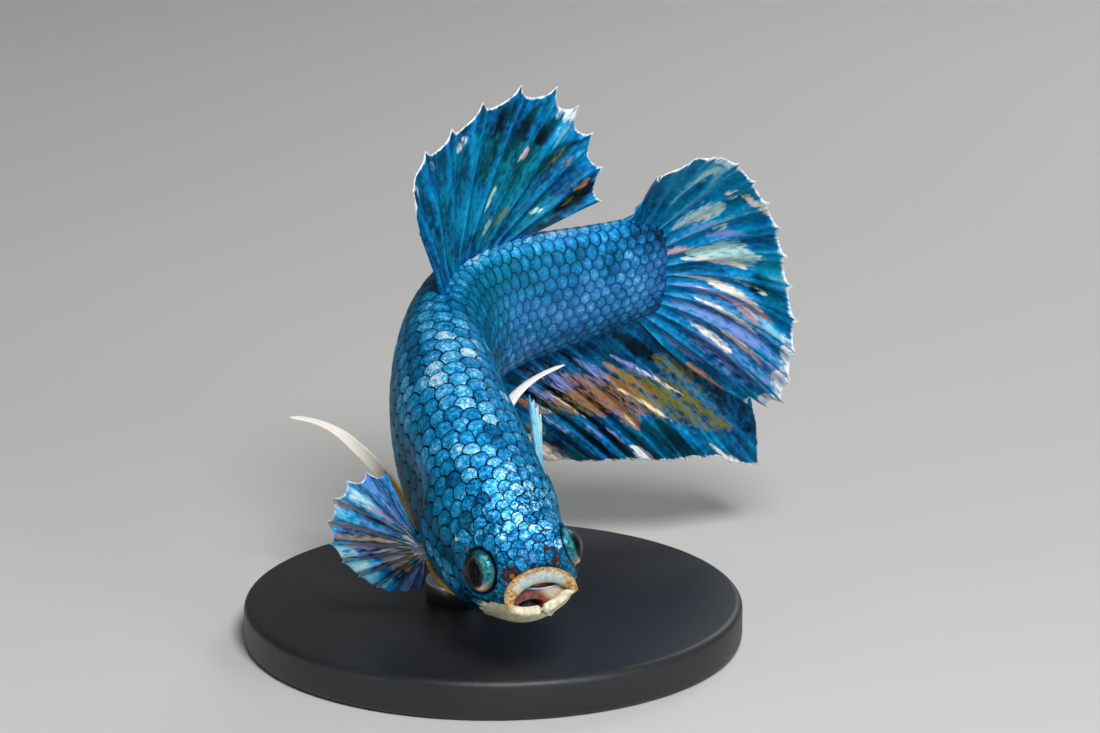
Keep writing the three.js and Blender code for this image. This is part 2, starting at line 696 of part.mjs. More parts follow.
addPiece(displayStand, "stand_base", standBase(), standBlack);
addPiece(displayStand, "stand_collar", standCollar(), standSteel);
addPiece(displayStand, "stand_rod", standRod(envelope), standSteel);

const bettaOnStand = new THREE.Group();
bettaOnStand.add(fish, displayStand);
export default bettaOnStand;
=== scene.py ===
import math

import bpy
import numpy as np
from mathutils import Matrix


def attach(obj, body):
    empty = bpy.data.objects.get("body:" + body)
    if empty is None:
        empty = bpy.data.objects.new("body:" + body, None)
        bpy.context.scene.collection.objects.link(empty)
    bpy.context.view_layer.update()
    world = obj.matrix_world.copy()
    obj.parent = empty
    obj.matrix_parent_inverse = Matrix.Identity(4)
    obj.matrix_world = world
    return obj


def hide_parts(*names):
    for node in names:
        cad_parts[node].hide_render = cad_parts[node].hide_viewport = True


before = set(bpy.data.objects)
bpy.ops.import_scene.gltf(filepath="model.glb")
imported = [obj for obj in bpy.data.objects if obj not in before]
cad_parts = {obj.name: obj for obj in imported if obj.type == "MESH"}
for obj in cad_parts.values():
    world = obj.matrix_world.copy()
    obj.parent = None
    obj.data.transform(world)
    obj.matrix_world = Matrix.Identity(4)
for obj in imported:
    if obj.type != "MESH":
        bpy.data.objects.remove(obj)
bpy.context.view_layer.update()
print("frame loaded")

metre = 0.001  # every size below is in millimetres, in the frame of the CAD part


# ---- small tools for numbers

def vector(*values):
    return np.array(values, float)


def unit(v):
    return v / np.linalg.norm(v, axis=-1, keepdims=True)


def dot(a, b):
    return (a * b).sum(-1)


def lerp(a, b, t):
    return a + (b - a) * t


def smoothstep(low, high, x):
    t = np.clip((np.asarray(x, float) - low) / (high - low), 0, 1)
    return t * t * (3 - 2 * t)


def bump(x, middle, spread):
    return np.exp(-((np.asarray(x, float) - middle) / spread) ** 2)


def smoothTable(rows, x):
    # rows of x, value, value...: a smooth curve through every row
    rows = np.asarray(rows, float)
    keys, values = rows[:, 0], rows[:, 1:]
    x = np.clip(np.asarray(x, float), keys[0], keys[-1])
    gaps = np.diff(keys)
    slopes = np.diff(values, axis=0) / gaps[:, None]
    share = (gaps[1:] / (gaps[:-1] + gaps[1:]))[:, None]
    inner = slopes[:-1] * share + slopes[1:] * (1 - share)
    tangents = np.concatenate([slopes[:1], inner, slopes[-1:]])
    i = np.clip(np.searchsorted(keys, x, side="right") - 1, 0, len(gaps) - 1)
    width = gaps[i][..., None]
    t = ((x - keys[i]) / gaps[i])[..., None]
    ends = values[i] * (2 * t**3 - 3 * t**2 + 1) + values[i + 1] * (3 * t**2 - 2 * t**3)
    leaving = tangents[i] * width * (t**3 - 2 * t**2 + t)
    arriving = tangents[i + 1] * width * (t**3 - t**2)
    return ends + leaving + arriving


# ---- the body: the same spine and sections as the CAD part

body = {
    "length": 42.0,
    "nosePitch": 23.3,
    "headLift": 7.5,
    "headLiftEnd": 12.0,
    "mouthTilt": 34.0,
    "mouthTiltEnd": 7.0,
    "mouthTiltPower": 1.3,
    "anchor": 20.0,
    "place": (-3.0, 1.2, 15.1),
    "step": 0.25,
    # station, heading in degrees
    "headings": [
        [0, -19], [6, -24], [12, -19], [17, -12], [21, -5.5],
        [25, 11], [29, 43], [33, 65], [37, 66.5], [42, 61],
    ],
    # station, half width, height over the spine, depth under it; the last two close the tail
    "sections": [
        [0, 2.1, 1.55, 1.15], [1, 2.3, 2.0, 1.95], [2.5, 2.65, 2.65, 3.2], [4.5, 3.1, 3.5, 4.85],
        [7, 3.85, 4.45, 6.4], [10, 4.15, 5.3, 6.9], [14, 4.2, 6.1, 6.8], [19, 3.75, 6.4, 6.7],
        [24, 3.2, 6.2, 6.1], [30, 2.7, 5.6, 5.2], [36, 2.15, 4.8, 4.5], [42, 1.4, 4.15, 4.15],
    ],
}


def tipped(right, away, up):
    pitch = math.radians(body["nosePitch"])
    return np.stack([
        right,
        away * math.cos(pitch) - up * math.sin(pitch),
        away * math.sin(pitch) + up * math.cos(pitch),
    ], -1)


def directionsAt(station):
    heading = np.radians(smoothTable(body["headings"], station)[..., 0])
    lift = math.radians(body["headLift"]) * np.maximum(0, 1 - np.asarray(station) / body["headLiftEnd"])
    level = np.cos(lift)
    tail = tipped(np.sin(heading) * level, np.cos(heading) * level, -np.sin(lift))
    left = tipped(np.cos(heading), -np.sin(heading), np.zeros_like(heading))
    return tail, left, np.cross(left, tail)


def makeSpine():
    step = body["step"]
    middles = np.arange(0, body["length"], step) + step / 2
    tails = directionsAt(middles)[0]
    points = np.concatenate([np.zeros((1, 3)), np.cumsum(tails * step, axis=0)])
    anchor = points[round(body["anchor"] / step)]
    return points - anchor + vector(*body["place"])


spinePoints = makeSpine()


def frameAt(station):
    # spine point, tailward, left and back directions
    station = np.asarray(station, float)
    inside = np.clip(station, 0, body["length"] - 1e-6)
    i = np.floor(inside / body["step"]).astype(int)
    share = (inside / body["step"] - i)[..., None]
    tail, left, back = directionsAt(inside)
    point = lerp(spinePoints[i], spinePoints[i + 1], share)
    return point + tail * (station - inside)[..., None], tail, left, back


def bodyPoint(station, angle, grow=0.0):
    # angle is 0 on the back, 90 on the left flank, 180 on the belly
    station, angle = np.broadcast_arrays(np.asarray(station, float), np.asarray(angle, float))
    point, tail, left, back = frameAt(station)
    sizes = smoothTable(body["sections"], station)
    past = np.maximum(0, station - body["length"])
    half = sizes[..., 0] * (1 - 0.88 * smoothstep(0, 1.9, past)) + grow
    straightened = np.clip(1 - station / body["mouthTiltEnd"], 0, 1)
    lean = math.radians(body["mouthTilt"]) * straightened ** body["mouthTiltPower"]
    rise = back * np.cos(lean)[..., None] + tail * np.sin(lean)[..., None]
    height = np.cos(np.radians(angle))
    tall = np.where(height > 0, sizes[..., 1], sizes[..., 2]) + grow - 0.3 * past
    across = left * (half * np.sin(np.radians(angle)))[..., None]
    return point + across + rise * (tall * height)[..., None]


# Angles that share the girth evenly, so that rows of scales are even too.
girth = {"stations": np.linspace(0, body["length"], 85), "shares": np.linspace(0, 1, 241)}


def measureGirth():
    angles = np.linspace(0, 360, 721)
    table, lengths = [], []
    for station in girth["stations"]:
        ring = bodyPoint(station, angles)
        along = np.concatenate([[0], np.cumsum(np.linalg.norm(np.diff(ring, axis=0), axis=1))])
        table.append(np.interp(girth["shares"], along / along[-1], angles))
        lengths.append(along[-1])
    girth["angles"], girth["lengths"] = np.array(table), np.array(lengths)


measureGirth()


def angleAt(station, around):
    # around is a share of the girth: 0 on the back, 0.25 near the left flank, 0.5 on the belly
    station, around = np.broadcast_arrays(np.asarray(station, float), np.asarray(around, float))
    turns = np.floor(around)
    row = np.clip(station, 0, body["length"] - 1e-6) / (girth["stations"][1])
    column = (around - turns) * (len(girth["shares"]) - 1)
    r, c = np.floor(row).astype(int), np.minimum(np.floor(column).astype(int), len(girth["shares"]) - 2)
    u, v, table = row - r, column - c, girth["angles"]
    low = lerp(table[r, c], table[r, c + 1], v)
    high = lerp(table[r + 1, c], table[r + 1, c + 1], v)
    return lerp(low, high, u) + 360 * turns


def girthAt(station):
    return np.interp(station, girth["stations"], girth["lengths"])


# ---- head

eye = {
    "station": 3.6, "side": 2.92, "height": 0.35, "rimRadius": 1.35, "bulge": 0.9,
    "outward": 0.88, "forward": 0.33, "upward": 0.32, "lid": 0.3,
}
eyeRadius = (eye["rimRadius"] ** 2 / eye["bulge"] + eye["bulge"]) / 2
mouth = {
    "raise": 0.15, "forward": 0.1, "flatness": 0.72,
    # the middle line of the lips: where its own middle lies, its sizes, and its rise on the fish's left
    "aside": -0.28, "low": -0.3, "halfWidth": 2.05, "above": 1.38, "below": 0.66, "leftRise": 0.5,
}
gillCover = {"station": 8.1, "angle": 103.0, "reach": 2.35, "sweep": 37.0, "proud": 0.16, "groove": 0.14}
# the hollow behind the right gill cover, where the stem of the pelvic fin shows
behindGill = {"depth": 0.95, "angle": -85, "spread": 24, "station": 12.5, "length": 3, "start": (10, 11)}
coat = {"depth": 0.16}


def eyeFrame(side):
    # middle of the rim, look, snoutward in the plane of the rim, backward in that plane
    point, tail, left, back = frameAt(eye["station"])
    rim = point + left * side * eye["side"] + back * eye["height"]
    look = unit(left * side * eye["outward"] - tail * eye["forward"] + back * eye["upward"])
    fore = unit(-tail + look * dot(tail, look))
    up = np.cross(fore, look) * side
    return rim, look, fore, up


def mouthFrame():
    point, tail, left, back = frameAt(0.0)
    lean = math.radians(body["mouthTilt"])
    gape = -tail * math.cos(lean) + back * math.sin(lean)
    up = back * math.cos(lean) + tail * math.sin(lean)
    return point + up * mouth["raise"], gape, up, left


def headRelief(station, angle):
    # gill cover, its slot, the crease over the jaw and the hollow behind, as heights in millimetres
    signed = (angle + 180) % 360 - 180
    hollow = behindGill["depth"] * bump(signed, behindGill["angle"], behindGill["spread"])
    hollow = hollow * bump(station, behindGill["station"], behindGill["length"])
    hollow = hollow * smoothstep(*behindGill["start"], station)
    angle = np.abs(signed)
    off = (angle - gillCover["angle"]) / gillCover["sweep"]
    edge = gillCover["station"] + gillCover["reach"] * np.sqrt(np.clip(1 - off**2, 0, 1))
    inSweep = 1 - smoothstep(0.75, 1.1, np.abs(off))
    ahead = edge - station
    raised = smoothstep(-0.02, 0.1, ahead) * (1 - smoothstep(0.6, 4.4, ahead))
    slot = bump(ahead, -0.16, 0.16)
    relief = inSweep * (gillCover["proud"] * raised - gillCover["groove"] * slot)
    creaseAngle = np.interp(station, [0.4, 2.4, 4.6], [104, 122, 146])
    crease = bump(angle, creaseAngle, 3.5) * smoothstep(0.3, 0.9, station)
    crease = crease * (1 - smoothstep(3.6, 4.8, station))
    return relief - 0.12 * crease - hollow


def skinPoint(station, around, grow=0.0):
    angle = angleAt(station, around)
    station = np.broadcast_to(np.asarray(station, float), angle.shape)
    points = bodyPoint(station, angle, headRelief(station, angle) - coat["depth"] + grow)
    for side in (1, -1):  # the orbit: a low rim of skin round each eye, and a socket under the eyeball
        rim, look, fore, up = eyeFrame(side)
        offset = points - rim
        depth = dot(offset, look)
        radius = np.linalg.norm(offset - depth[..., None] * look, axis=-1)
        closeness = (depth > -2.5) * (1 - smoothstep(2.1, 2.9, radius))
        lidRadius = eye["rimRadius"] + eye["lid"]
        cone = -0.02 - 0.75 * np.maximum(0, radius - lidRadius) ** 1.15
        lidSlope = 0.06 - 2.2 * np.maximum(0, lidRadius - 0.12 - radius)
        target = np.minimum(cone, lidSlope)
        raised = np.maximum(depth, target)
        soft = 0.12
        apart = np.abs(depth - target)
        raised = np.where(apart < soft, raised + (soft - apart) ** 2 / (4 * soft), raised)
        sunk = lerp(raised, -1.1, 1 - smoothstep(eye["rimRadius"] - 0.25, eye["rimRadius"] + 0.12, radius))
        points = points + look * (closeness * (sunk - depth))[..., None]
    return points


def skinNormal(station, around, grow=0.0):
    small = 0.03
    turn = small / girthAt(station)
    alongSkin = skinPoint(station + small, around, grow) - skinPoint(station - small, around, grow)
    aroundSkin = skinPoint(station, around + turn, grow) - skinPoint(station, around - turn, grow)
    return unit(np.cross(aroundSkin, alongSkin))


# ---- small tools for meshes

def gridFaces(rows, columns, closed=False):
    across = np.arange(columns if closed else columns - 1)
    first = (np.arange(rows - 1)[:, None] * columns + across).ravel()
    second = (np.arange(rows - 1)[:, None] * columns + (across + 1) % columns).ravel()
    return np.stack([first, second, second + columns, first + columns], -1).tolist()


def addPiece(name, points, faces, material, nodes=(), values=None, patches=None):
    mesh = bpy.data.meshes.new(name)
    mesh.from_pydata((np.asarray(points).reshape(-1, 3) * metre).tolist(), [], faces)
    for key, numbers in (values or {}).items():
        attribute = mesh.attributes.new(key, "FLOAT", "POINT")
        attribute.data.foreach_set("value", np.asarray(numbers, np.float32).ravel())
    if patches is not None:
        layer = mesh.uv_layers.new(name="OFBake")
        corners = np.empty(len(mesh.loops), np.int32)
        mesh.loops.foreach_get("vertex_index", corners)
        layer.data.foreach_set("uv", patches.reshape(-1, 2)[corners].astype(np.float32).ravel())
    mesh.polygons.foreach_set("use_smooth", np.ones(len(mesh.polygons), bool))
    mesh.materials.append(material)
    piece = bpy.data.objects.new(name, mesh)
    bpy.context.scene.collection.objects.link(piece)
    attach(piece, "root")
    if nodes:
        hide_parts(*nodes)
    return piece


def turned(profile, sides, place, along, first, second):
    # a profile of radius and height turned about the direction along, closed where the radius is 0
    points, rings = [], []
    turns = np.arange(sides) * 2 * math.pi / sides
    for radius, height in profile:
        centre = place + along * height
        if radius == 0:
            rings.append([len(points)] * sides)
            points.append(centre)
            continue
        rings.append(list(range(len(points), len(points) + sides)))
        points.extend(centre + radius * (math.cos(t) * first + math.sin(t) * second) for t in turns)
    faces = []
    for low, high in zip(rings, rings[1:]):
        for k in range(sides):
            n = (k + 1) % sides
            corners = [low[k], low[n], high[n], high[k]]
            faces.append([c for i, c in enumerate(corners) if c not in corners[:i]])
    return np.array(points), faces


def arc(radius, height, size, start, end, steps):
    # points of a fillet round (radius, height), angles in degrees from the outward side
    angles = np.radians(np.linspace(start, end, steps))
    return [(radius + size * math.cos(a), height + size * math.sin(a)) for a in angles]


# ---- small tools for materials

def hexColor(code):
    channels = [int(code[i:i + 2], 16) / 255 for i in (1, 3, 5)]
    linear = [c / 12.92 if c <= 0.04045 else ((c + 0.055) / 1.055) ** 2.4 for c in channels]
    return (*linear, 1.0)


def addNode(tree, kind, inputs=None, stops=None, **settings):
    node = tree.nodes.new("ShaderNode" + kind)
    for name, value in settings.items():
        setattr(node, name, value)
    for name, value in (inputs or {}).items():
        if isinstance(value, bpy.types.NodeSocket):
            tree.links.new(value, node.inputs[name])
        else:
            node.inputs[name].default_value = value
    if stops:
        elements = node.color_ramp.elements
        while len(elements) < len(stops):
            elements.new(1.0)
        for element, (position, color) in zip(elements, stops):
            element.position, element.color = position, color
    return node


def newMaterial(name):
    material = bpy.data.materials.new(name)
    material.use_nodes = True
    material.node_tree.nodes.clear()
    return material, material.node_tree


def perMillimetre(size):
    # texture scale whose cells are this many millimetres across
    return 1 / (size * metre)


def noiseAt(tree, place, size, detail):
    cells = {"Vector": place, "Scale": perMillimetre(size), "Detail": detail}
    return addNode(tree, "TexNoise", cells).outputs["Fac"]


def mixedColor(tree, share, low, high):
    return addNode(tree, "Mix", {0: share, 6: low, 7: high}, data_type="RGBA").outputs[2]


# ---- markings and painted light, shared by the skin and the scales: besides the fish's own colours, the light value carries painted highlights and painted shade

pattern = {
    # station, degrees from the back where the pale jaw and throat begin
    "paleEdge": [[0.3, 100], [1.75, 115], [3.4, 117], [4.8, 122], [5.4, 132], [6.2, 148], [8, 176]],
    "paleSoftness": 7.0,
    # freckles: station, degrees from the back (negative on the fish's right), radius
    "chalk": [
        [2.9, -27, 0.19], [3.75, -43, 0.12], [6.5, -43, 0.1], [6.15, -72, 0.22], [6.6, -130, 0.17],
        [8.2, 15, 0.12], [6.0, 30, 0.13], [11.5, -30, 0.13], [4.6, -20, 0.1],
    ],
    "brown": [
        [0.85, -50, 0.6], [1.25, -57, 0.42], [1.7, -22, 0.12], [1.35, -12, 0.11], [1.5, 4, 0.12],
        [2.0, -31, 0.09], [1.2, 14, 0.13], [2.6, 19, 0.13], [2.2, 24, 0.12], [0.75, 37, 0.4],
        [1.45, 23, 0.26], [1.5, 34, 0.26], [1.3, 42, 0.24],
        [0.45, -9, 0.14], [1.75, 18, 0.16], [6.6, -56, 0.17], [5.2, -55, 0.15], [5.3, -30, 0.12],
        [2.9, -27, 0.1], [7.6, 22, 0.13], [9.0, -12, 0.11], [2.6, 6, 0.11], [3.4, 14, 0.1],
    ],
    "rust": [
        [0.72, -49, 0.22], [0.6, 39, 0.2], [1.5, -62, 0.12], [1.4, -21, 0.14], [0.5, 7, 0.13],
        [1.0, -70, 0.12], [1.0, -92, 0.12], [2.55, -52, 0.12], [0.35, -32, 0.12], [5.0, -73, 0.12],
        [6.15, -72, 0.1],
    ],
    "nostrils": [[0.8, -49], [0.75, 38]],
    "nostrilRadius": 0.27,
    "nostrilRise": 0.12,
}


def aroundAt(station, angle):
    row = int(round(station / girth["stations"][1]))
    return float(np.interp(angle % 360, girth["angles"][row], girth["shares"]))


def spots(points, places):
    amount = np.zeros(points.shape[:-1])
    for station, angle, radius in places:
        centre = skinPoint(station, aroundAt(station, angle))
        reach = np.linalg.norm(points - centre, axis=-1) / radius
        amount = np.maximum(amount, 1 - smoothstep(0.5, 1.3, reach))
    return amount


def markingsAndPaintedLight(station, around, points):
    angle = (angleAt(station, around) + 180) % 360 - 180
    across = np.abs(angle)
    front = 1 - smoothstep(17, 25, station)
    snout = 1 - smoothstep(4, 9, station)
    # the top of the head and the nape are lighter: partly the fish's own paler blue, partly a painted
    # highlight from light above
    crown = bump(angle, 8, 38) * smoothstep(1.0, 5, station) * (1 - 0.75 * smoothstep(19, 25, station))
    # the flanks and underside of the front half are darker: partly the fish's own deeper blue, partly painted
    # shade
    sides = smoothstep(50, 100, across) * front
    dusky = bump(station, 29, 7)
    # the next two marks paint a highlight, tinted lilac, on the up-facing back at and behind the dorsal fin
    ridge = bump(angle, 0, 17) * bump(station, 35.2, 2.8)
    finFootHighlight = bump(angle, 10, 12) * bump(station, 28.8, 3.6)
    # a painted sheen, pale blue, along the lower edge of the right gill cover
    paintedGillSheen = bump(angle, -112, 15) * smoothstep(5.5, 7, station) * (1 - smoothstep(9.3, 10.5, station))
    # the lower rear flank is painted lighter and lilac: a painted highlight, tinted lilac
    lilac = smoothstep(27, 32, station) * bump(across, 92, 36)
    edge = np.interp(station, *np.transpose(pattern["paleEdge"]))
    softness = pattern["paleSoftness"]
    return {
        "light": (0.46 + 0.16 * crown - 0.22 * sides - 0.06 * (1 - front)
                  # the second term on the next line is a painted highlight: a bright streak on the nape, on
                  # the fish's right of the back
                  - 0.15 * bump(across, 36, 34) * dusky + 0.15 * bump(station, 18, 5) * bump(angle, -16, 15)
                  + 0.36 * ridge + 0.17 * lilac + 0.34 * paintedGillSheen + 0.42 * finFootHighlight
                  # the root of the tail is painted darker: painted shadow
                  - 0.2 * smoothstep(40, 43, station)),
        "spark": 0.22 + 0.08 * crown + 0.34 * snout,
        "seam": 0.62 + 0.38 * front,
        "teal": (0.95 * bump(across, 40, 50) * dusky * (1 - 0.4 * finFootHighlight)
                 + 0.6 * bump(across, 80, 38) * front),
        # the violet tint also lies on the painted highlight of the back behind the dorsal fin
        "violet": 0.75 * lilac + 0.9 * ridge,
        "pale": np.clip(0.5 + (across - edge) / (2 * softness), 0, 1) * (station < 8.2),
        "brown": spots(points, pattern["brown"]),
        "rust": spots(points, pattern["rust"]),
        "chalk": spots(points, pattern["chalk"]),
    }


# ---- finishes of the fish

skinColors = {
    "abyss": "#001220", "deep": "#00446f", "middle": "#0078b4", "light": "#2ba6e4", "ice": "#8ad8fa",
    "snow": "#e8f8ff", "teal": "#00869c", "violet": "#558fea", "crack": "#001424",
    "cream": "#f1ebd2", "creamShade": "#b9b491", "brown": "#35190d", "rust": "#a5501c", "chalk": "#e6e2d0",
    "lip": "#c9ab78", "lipShade": "#86602f", "lipGlow": "#a4d4e4", "gum": "#3a120f",
}


def scaledSkin(name, bare):
    # Guanine crystals under clear skin: brilliant blue that glints like foil, grained with dark
    # pigment cells, and dull cream skin without crystals on the jaw.
    material, tree = newMaterial(name)
    color = {key: hexColor(code) for key, code in skinColors.items()}
    place = addNode(tree, "TexCoord").outputs["Object"]

    def mask(key):
        return addNode(tree, "Attribute", attribute_name=key).outputs["Fac"]

    def mixed(amount, under, over):
        return mixedColor(tree, amount, under, over)

    # crystal grain about 0.1 mm across, drawn a little coarser than in life so that it shows
    grain = addNode(tree, "TexVoronoi", {"Vector": place, "Scale": perMillimetre(0.13)})
    speck = addNode(tree, "SeparateColor", {0: grain.outputs["Color"]}).outputs[0]
    patch = noiseAt(tree, place, 2.2, 3.0)
    mottle = noiseAt(tree, place, 0.34, 4.0)
    # every noise is 0.5 on average, so each is taken back to its middle before it is added
    glint = addNode(tree, "Math", {0: speck, 1: 0.5}, operation="SUBTRACT").outputs[0]
    glint = addNode(
        tree, "Math", {0: glint, 1: mask("spark"), 2: mask("light")}, operation="MULTIPLY_ADD").outputs[0]
    glint = addNode(tree, "Math", {0: patch, 1: 0.5, 2: glint}, operation="MULTIPLY_ADD").outputs[0]
    glint = addNode(tree, "Math", {0: mottle, 1: 0.7, 2: glint}, operation="MULTIPLY_ADD").outputs[0]
    # the tone follows the light value, which carries painted highlights and painted shade as well as the
    # fish's own tone
    tone = addNode(tree, "Math", {0: glint, 1: 0.6}, operation="SUBTRACT").outputs[0]
    blue = addNode(tree, "ValToRGB", {0: tone}, stops=[
        (0.0, color["abyss"]), (0.22, color["deep"]), (0.46, color["middle"]), (0.68, color["light"]),
        (0.84, color["ice"]), (1.0, color["snow"]),
    ]).outputs[0]
    tealAmount = addNode(tree, "Math", {0: mask("teal"), 1: 0.75}, operation="MULTIPLY").outputs[0]
    tinted = mixed(tealAmount, blue, mixed(0.75, blue, color["teal"]))
    # violet is strongest on the painted highlights of the back and of the lower rear flank
    violetSpread = addNode(tree, "MapRange", {0: patch, 1: 0.38, 2: 0.62, 3: 0.25, 4: 1.0}).outputs[0]
    violetAmount = addNode(
        tree, "Math", {0: mask("violet"), 1: violetSpread}, operation="MULTIPLY").outputs[0]
    tinted = mixed(violetAmount, tinted, mixed(0.6, blue, color["violet"]))
    worn = addNode(tree, "Math", {0: mottle, 1: 0.5, 2: mask("rim")}, operation="MULTIPLY_ADD").outputs[0]
    crack = addNode(tree, "MapRange", {0: worn, 1: 1.03, 2: 1.17, 3: 0.0, 4: 1.0}).outputs[0]
    crack = addNode(tree, "Math", {0: crack, 1: mask("seam")}, operation="MULTIPLY").outputs[0]
    if bare:
        # small unfinished scales on the snout and cheeks, about 0.5 mm across
        cells = addNode(tree, "TexVoronoi", {"Vector": place, "Scale": perMillimetre(0.5)},
                        feature="DISTANCE_TO_EDGE")
        seam = addNode(tree, "MapRange", {0: cells.outputs["Distance"], 1: 0.015, 2: 0.075, 3: 0.8, 4: 0.0})
        crack = addNode(tree, "Math", {0: seam.outputs[0], 1: mask("bare")}, operation="MULTIPLY").outputs[0]
    tinted = mixed(crack, tinted, color["crack"])
    raggedPale = addNode(
        tree, "Math", {0: mottle, 1: 0.9, 2: mask("pale")}, operation="MULTIPLY_ADD").outputs[0]
    paleAmount = addNode(tree, "MapRange", {0: raggedPale, 1: 0.86, 2: 1.02, 3: 0.0, 4: 1.0}).outputs[0]
    creamTone = addNode(tree, "MapRange", {0: mottle, 1: 0.36, 2: 0.66, 3: 1.0, 4: 0.0}).outputs[0]
    cream = mixed(creamTone, color["cream"], color["creamShade"])
    tinted = mixed(paleAmount, tinted, cream)
    freckles = {}
    for key in ("chalk", "brown", "rust"):
        ragged = addNode(tree, "Math", {0: speck, 1: 0.5, 2: mask(key)}, operation="MULTIPLY_ADD").outputs[0]
        freckles[key] = addNode(tree, "MapRange", {0: ragged, 1: 0.62, 2: 0.9, 3: 0.0, 4: 0.92}).outputs[0]
        tinted = mixed(freckles[key], tinted, color[key])
    dull = addNode(tree, "Math", {0: paleAmount, 1: freckles["brown"]}, operation="MAXIMUM").outputs[0]
    dull = addNode(tree, "Math", {0: dull, 1: freckles["rust"]}, operation="MAXIMUM").outputs[0]
    if bare:
        lipGrain = mixed(speck, color["lip"], color["lipShade"])
        lip = mixed(mask("glow"), lipGrain, mixed(mottle, color["lipGlow"], lipGrain))
        tinted = mixed(mask("lip"), tinted, lip)
        tinted = mixed(mask("outline"), tinted, color["abyss"])
        tinted = mixed(mask("gum"), tinted, color["gum"])
        dull = addNode(tree, "Math", {0: dull, 1: mask("lip")}, operation="MAXIMUM").outputs[0]
        dull = addNode(tree, "Math", {0: dull, 1: mask("gum")}, operation="MAXIMUM").outputs[0]
    metal = addNode(tree, "MapRange", {0: dull, 1: 0.0, 2: 1.0, 3: 0.45, 4: 0.0}).outputs[0]
    rough = addNode(tree, "MapRange", {0: speck, 1: 0.0, 2: 1.0, 3: 0.46, 4: 0.62}).outputs[0]
    relief = addNode(tree, "Math", {0: speck, 1: 0.5, 2: mottle}, operation="MULTIPLY_ADD").outputs[0]
    bumped = addNode(tree, "Bump", {"Height": relief, "Strength": 0.5, "Distance": 0.03 * metre})
    shader = addNode(tree, "BsdfPrincipled", {
        "Base Color": tinted, "Metallic": metal, "Roughness": rough, "Normal": bumped.outputs[0],
        "IOR": 1.34, "Specular IOR Level": 0.2, "Coat Weight": 0.05, "Coat Roughness": 0.15,
    })
    addNode(tree, "OutputMaterial", {"Surface": shader.outputs[0]})
    return material


print("materials of the skin")

# ---- the skin, one closed mesh from the floor of the mouth to the root of the tail

skin = {
    "columns": 176, "firstRing": 0.75, "fineStep": 0.11, "fineEnd": 10.0, "coarseStep": 0.3,
    "closing": [42.15, 42.4, 42.7, 43.0, 43.3, 43.6, 43.9],
    "lipTurns": (-35, 215, 15),
    # degrees round the mouth from its top, thickness of the lip there
    "lip": [[0, 0.49], [55, 0.45], [90, 0.27], [125, 0.27], [180, 0.3]],
    "hollow": [[0.98, 0.35], [0.95, 0.8], [0.82, 1.3], [0.56, 1.7], [0.25, 1.95]],
    "groove": 0.5, "grooveDepth": 0.16,
    "notch": 184.0, "notchWidth": 3.6, "notchDepth": 0.5, "notchReach": 1.2, "chinTip": 174.0,
    "chinTipRise": 0.22,
}


def lipLine(angles, scale=1.0):
    # the middle line of the lips in the plane of the mouth, angles from its top towards the fish's left
    phi = np.radians(angles)
    swing = np.abs((angles + 180) % 360 - 180)
    tall = np.where(np.cos(phi) > 0, mouth["above"], mouth["below"])
    rise = mouth["leftRise"] * smoothstep(80, 135, swing) * np.maximum(0, np.sin(phi))
    aside = mouth["aside"] + scale * mouth["halfWidth"] * np.sin(phi)
    return aside, mouth["low"] + scale * tall * np.cos(phi) + rise


def lipRow(columnAngles, turn):
    middle, gape, up, left = mouthFrame()
    swing = np.abs((columnAngles + 180) % 360 - 180)
    radius = np.interp(swing, *np.transpose(skin["lip"]))
    radius = radius * (1 - 0.85 * bump((columnAngles + 360) % 360, skin["notch"], skin["notchWidth"]))
    phi = np.radians(columnAngles)[:, None]
    outward = unit(left * np.sin(phi) * mouth["above"] + up * np.cos(phi) * mouth["halfWidth"])
    u, v = lipLine(columnAngles)
    centre = middle + gape * mouth["forward"] + left * u[:, None] + up * v[:, None]
    t = math.radians(turn)
    forward = gape * math.sin(t) * mouth["flatness"]
    return centre + radius[:, None] * (forward - outward * math.cos(t))


def hollowRow(columnAngles, scale, depth):
    middle, gape, up, left = mouthFrame()
    u, v = lipLine(columnAngles, scale)
    return middle - gape * depth + left * u[:, None] + up * v[:, None]


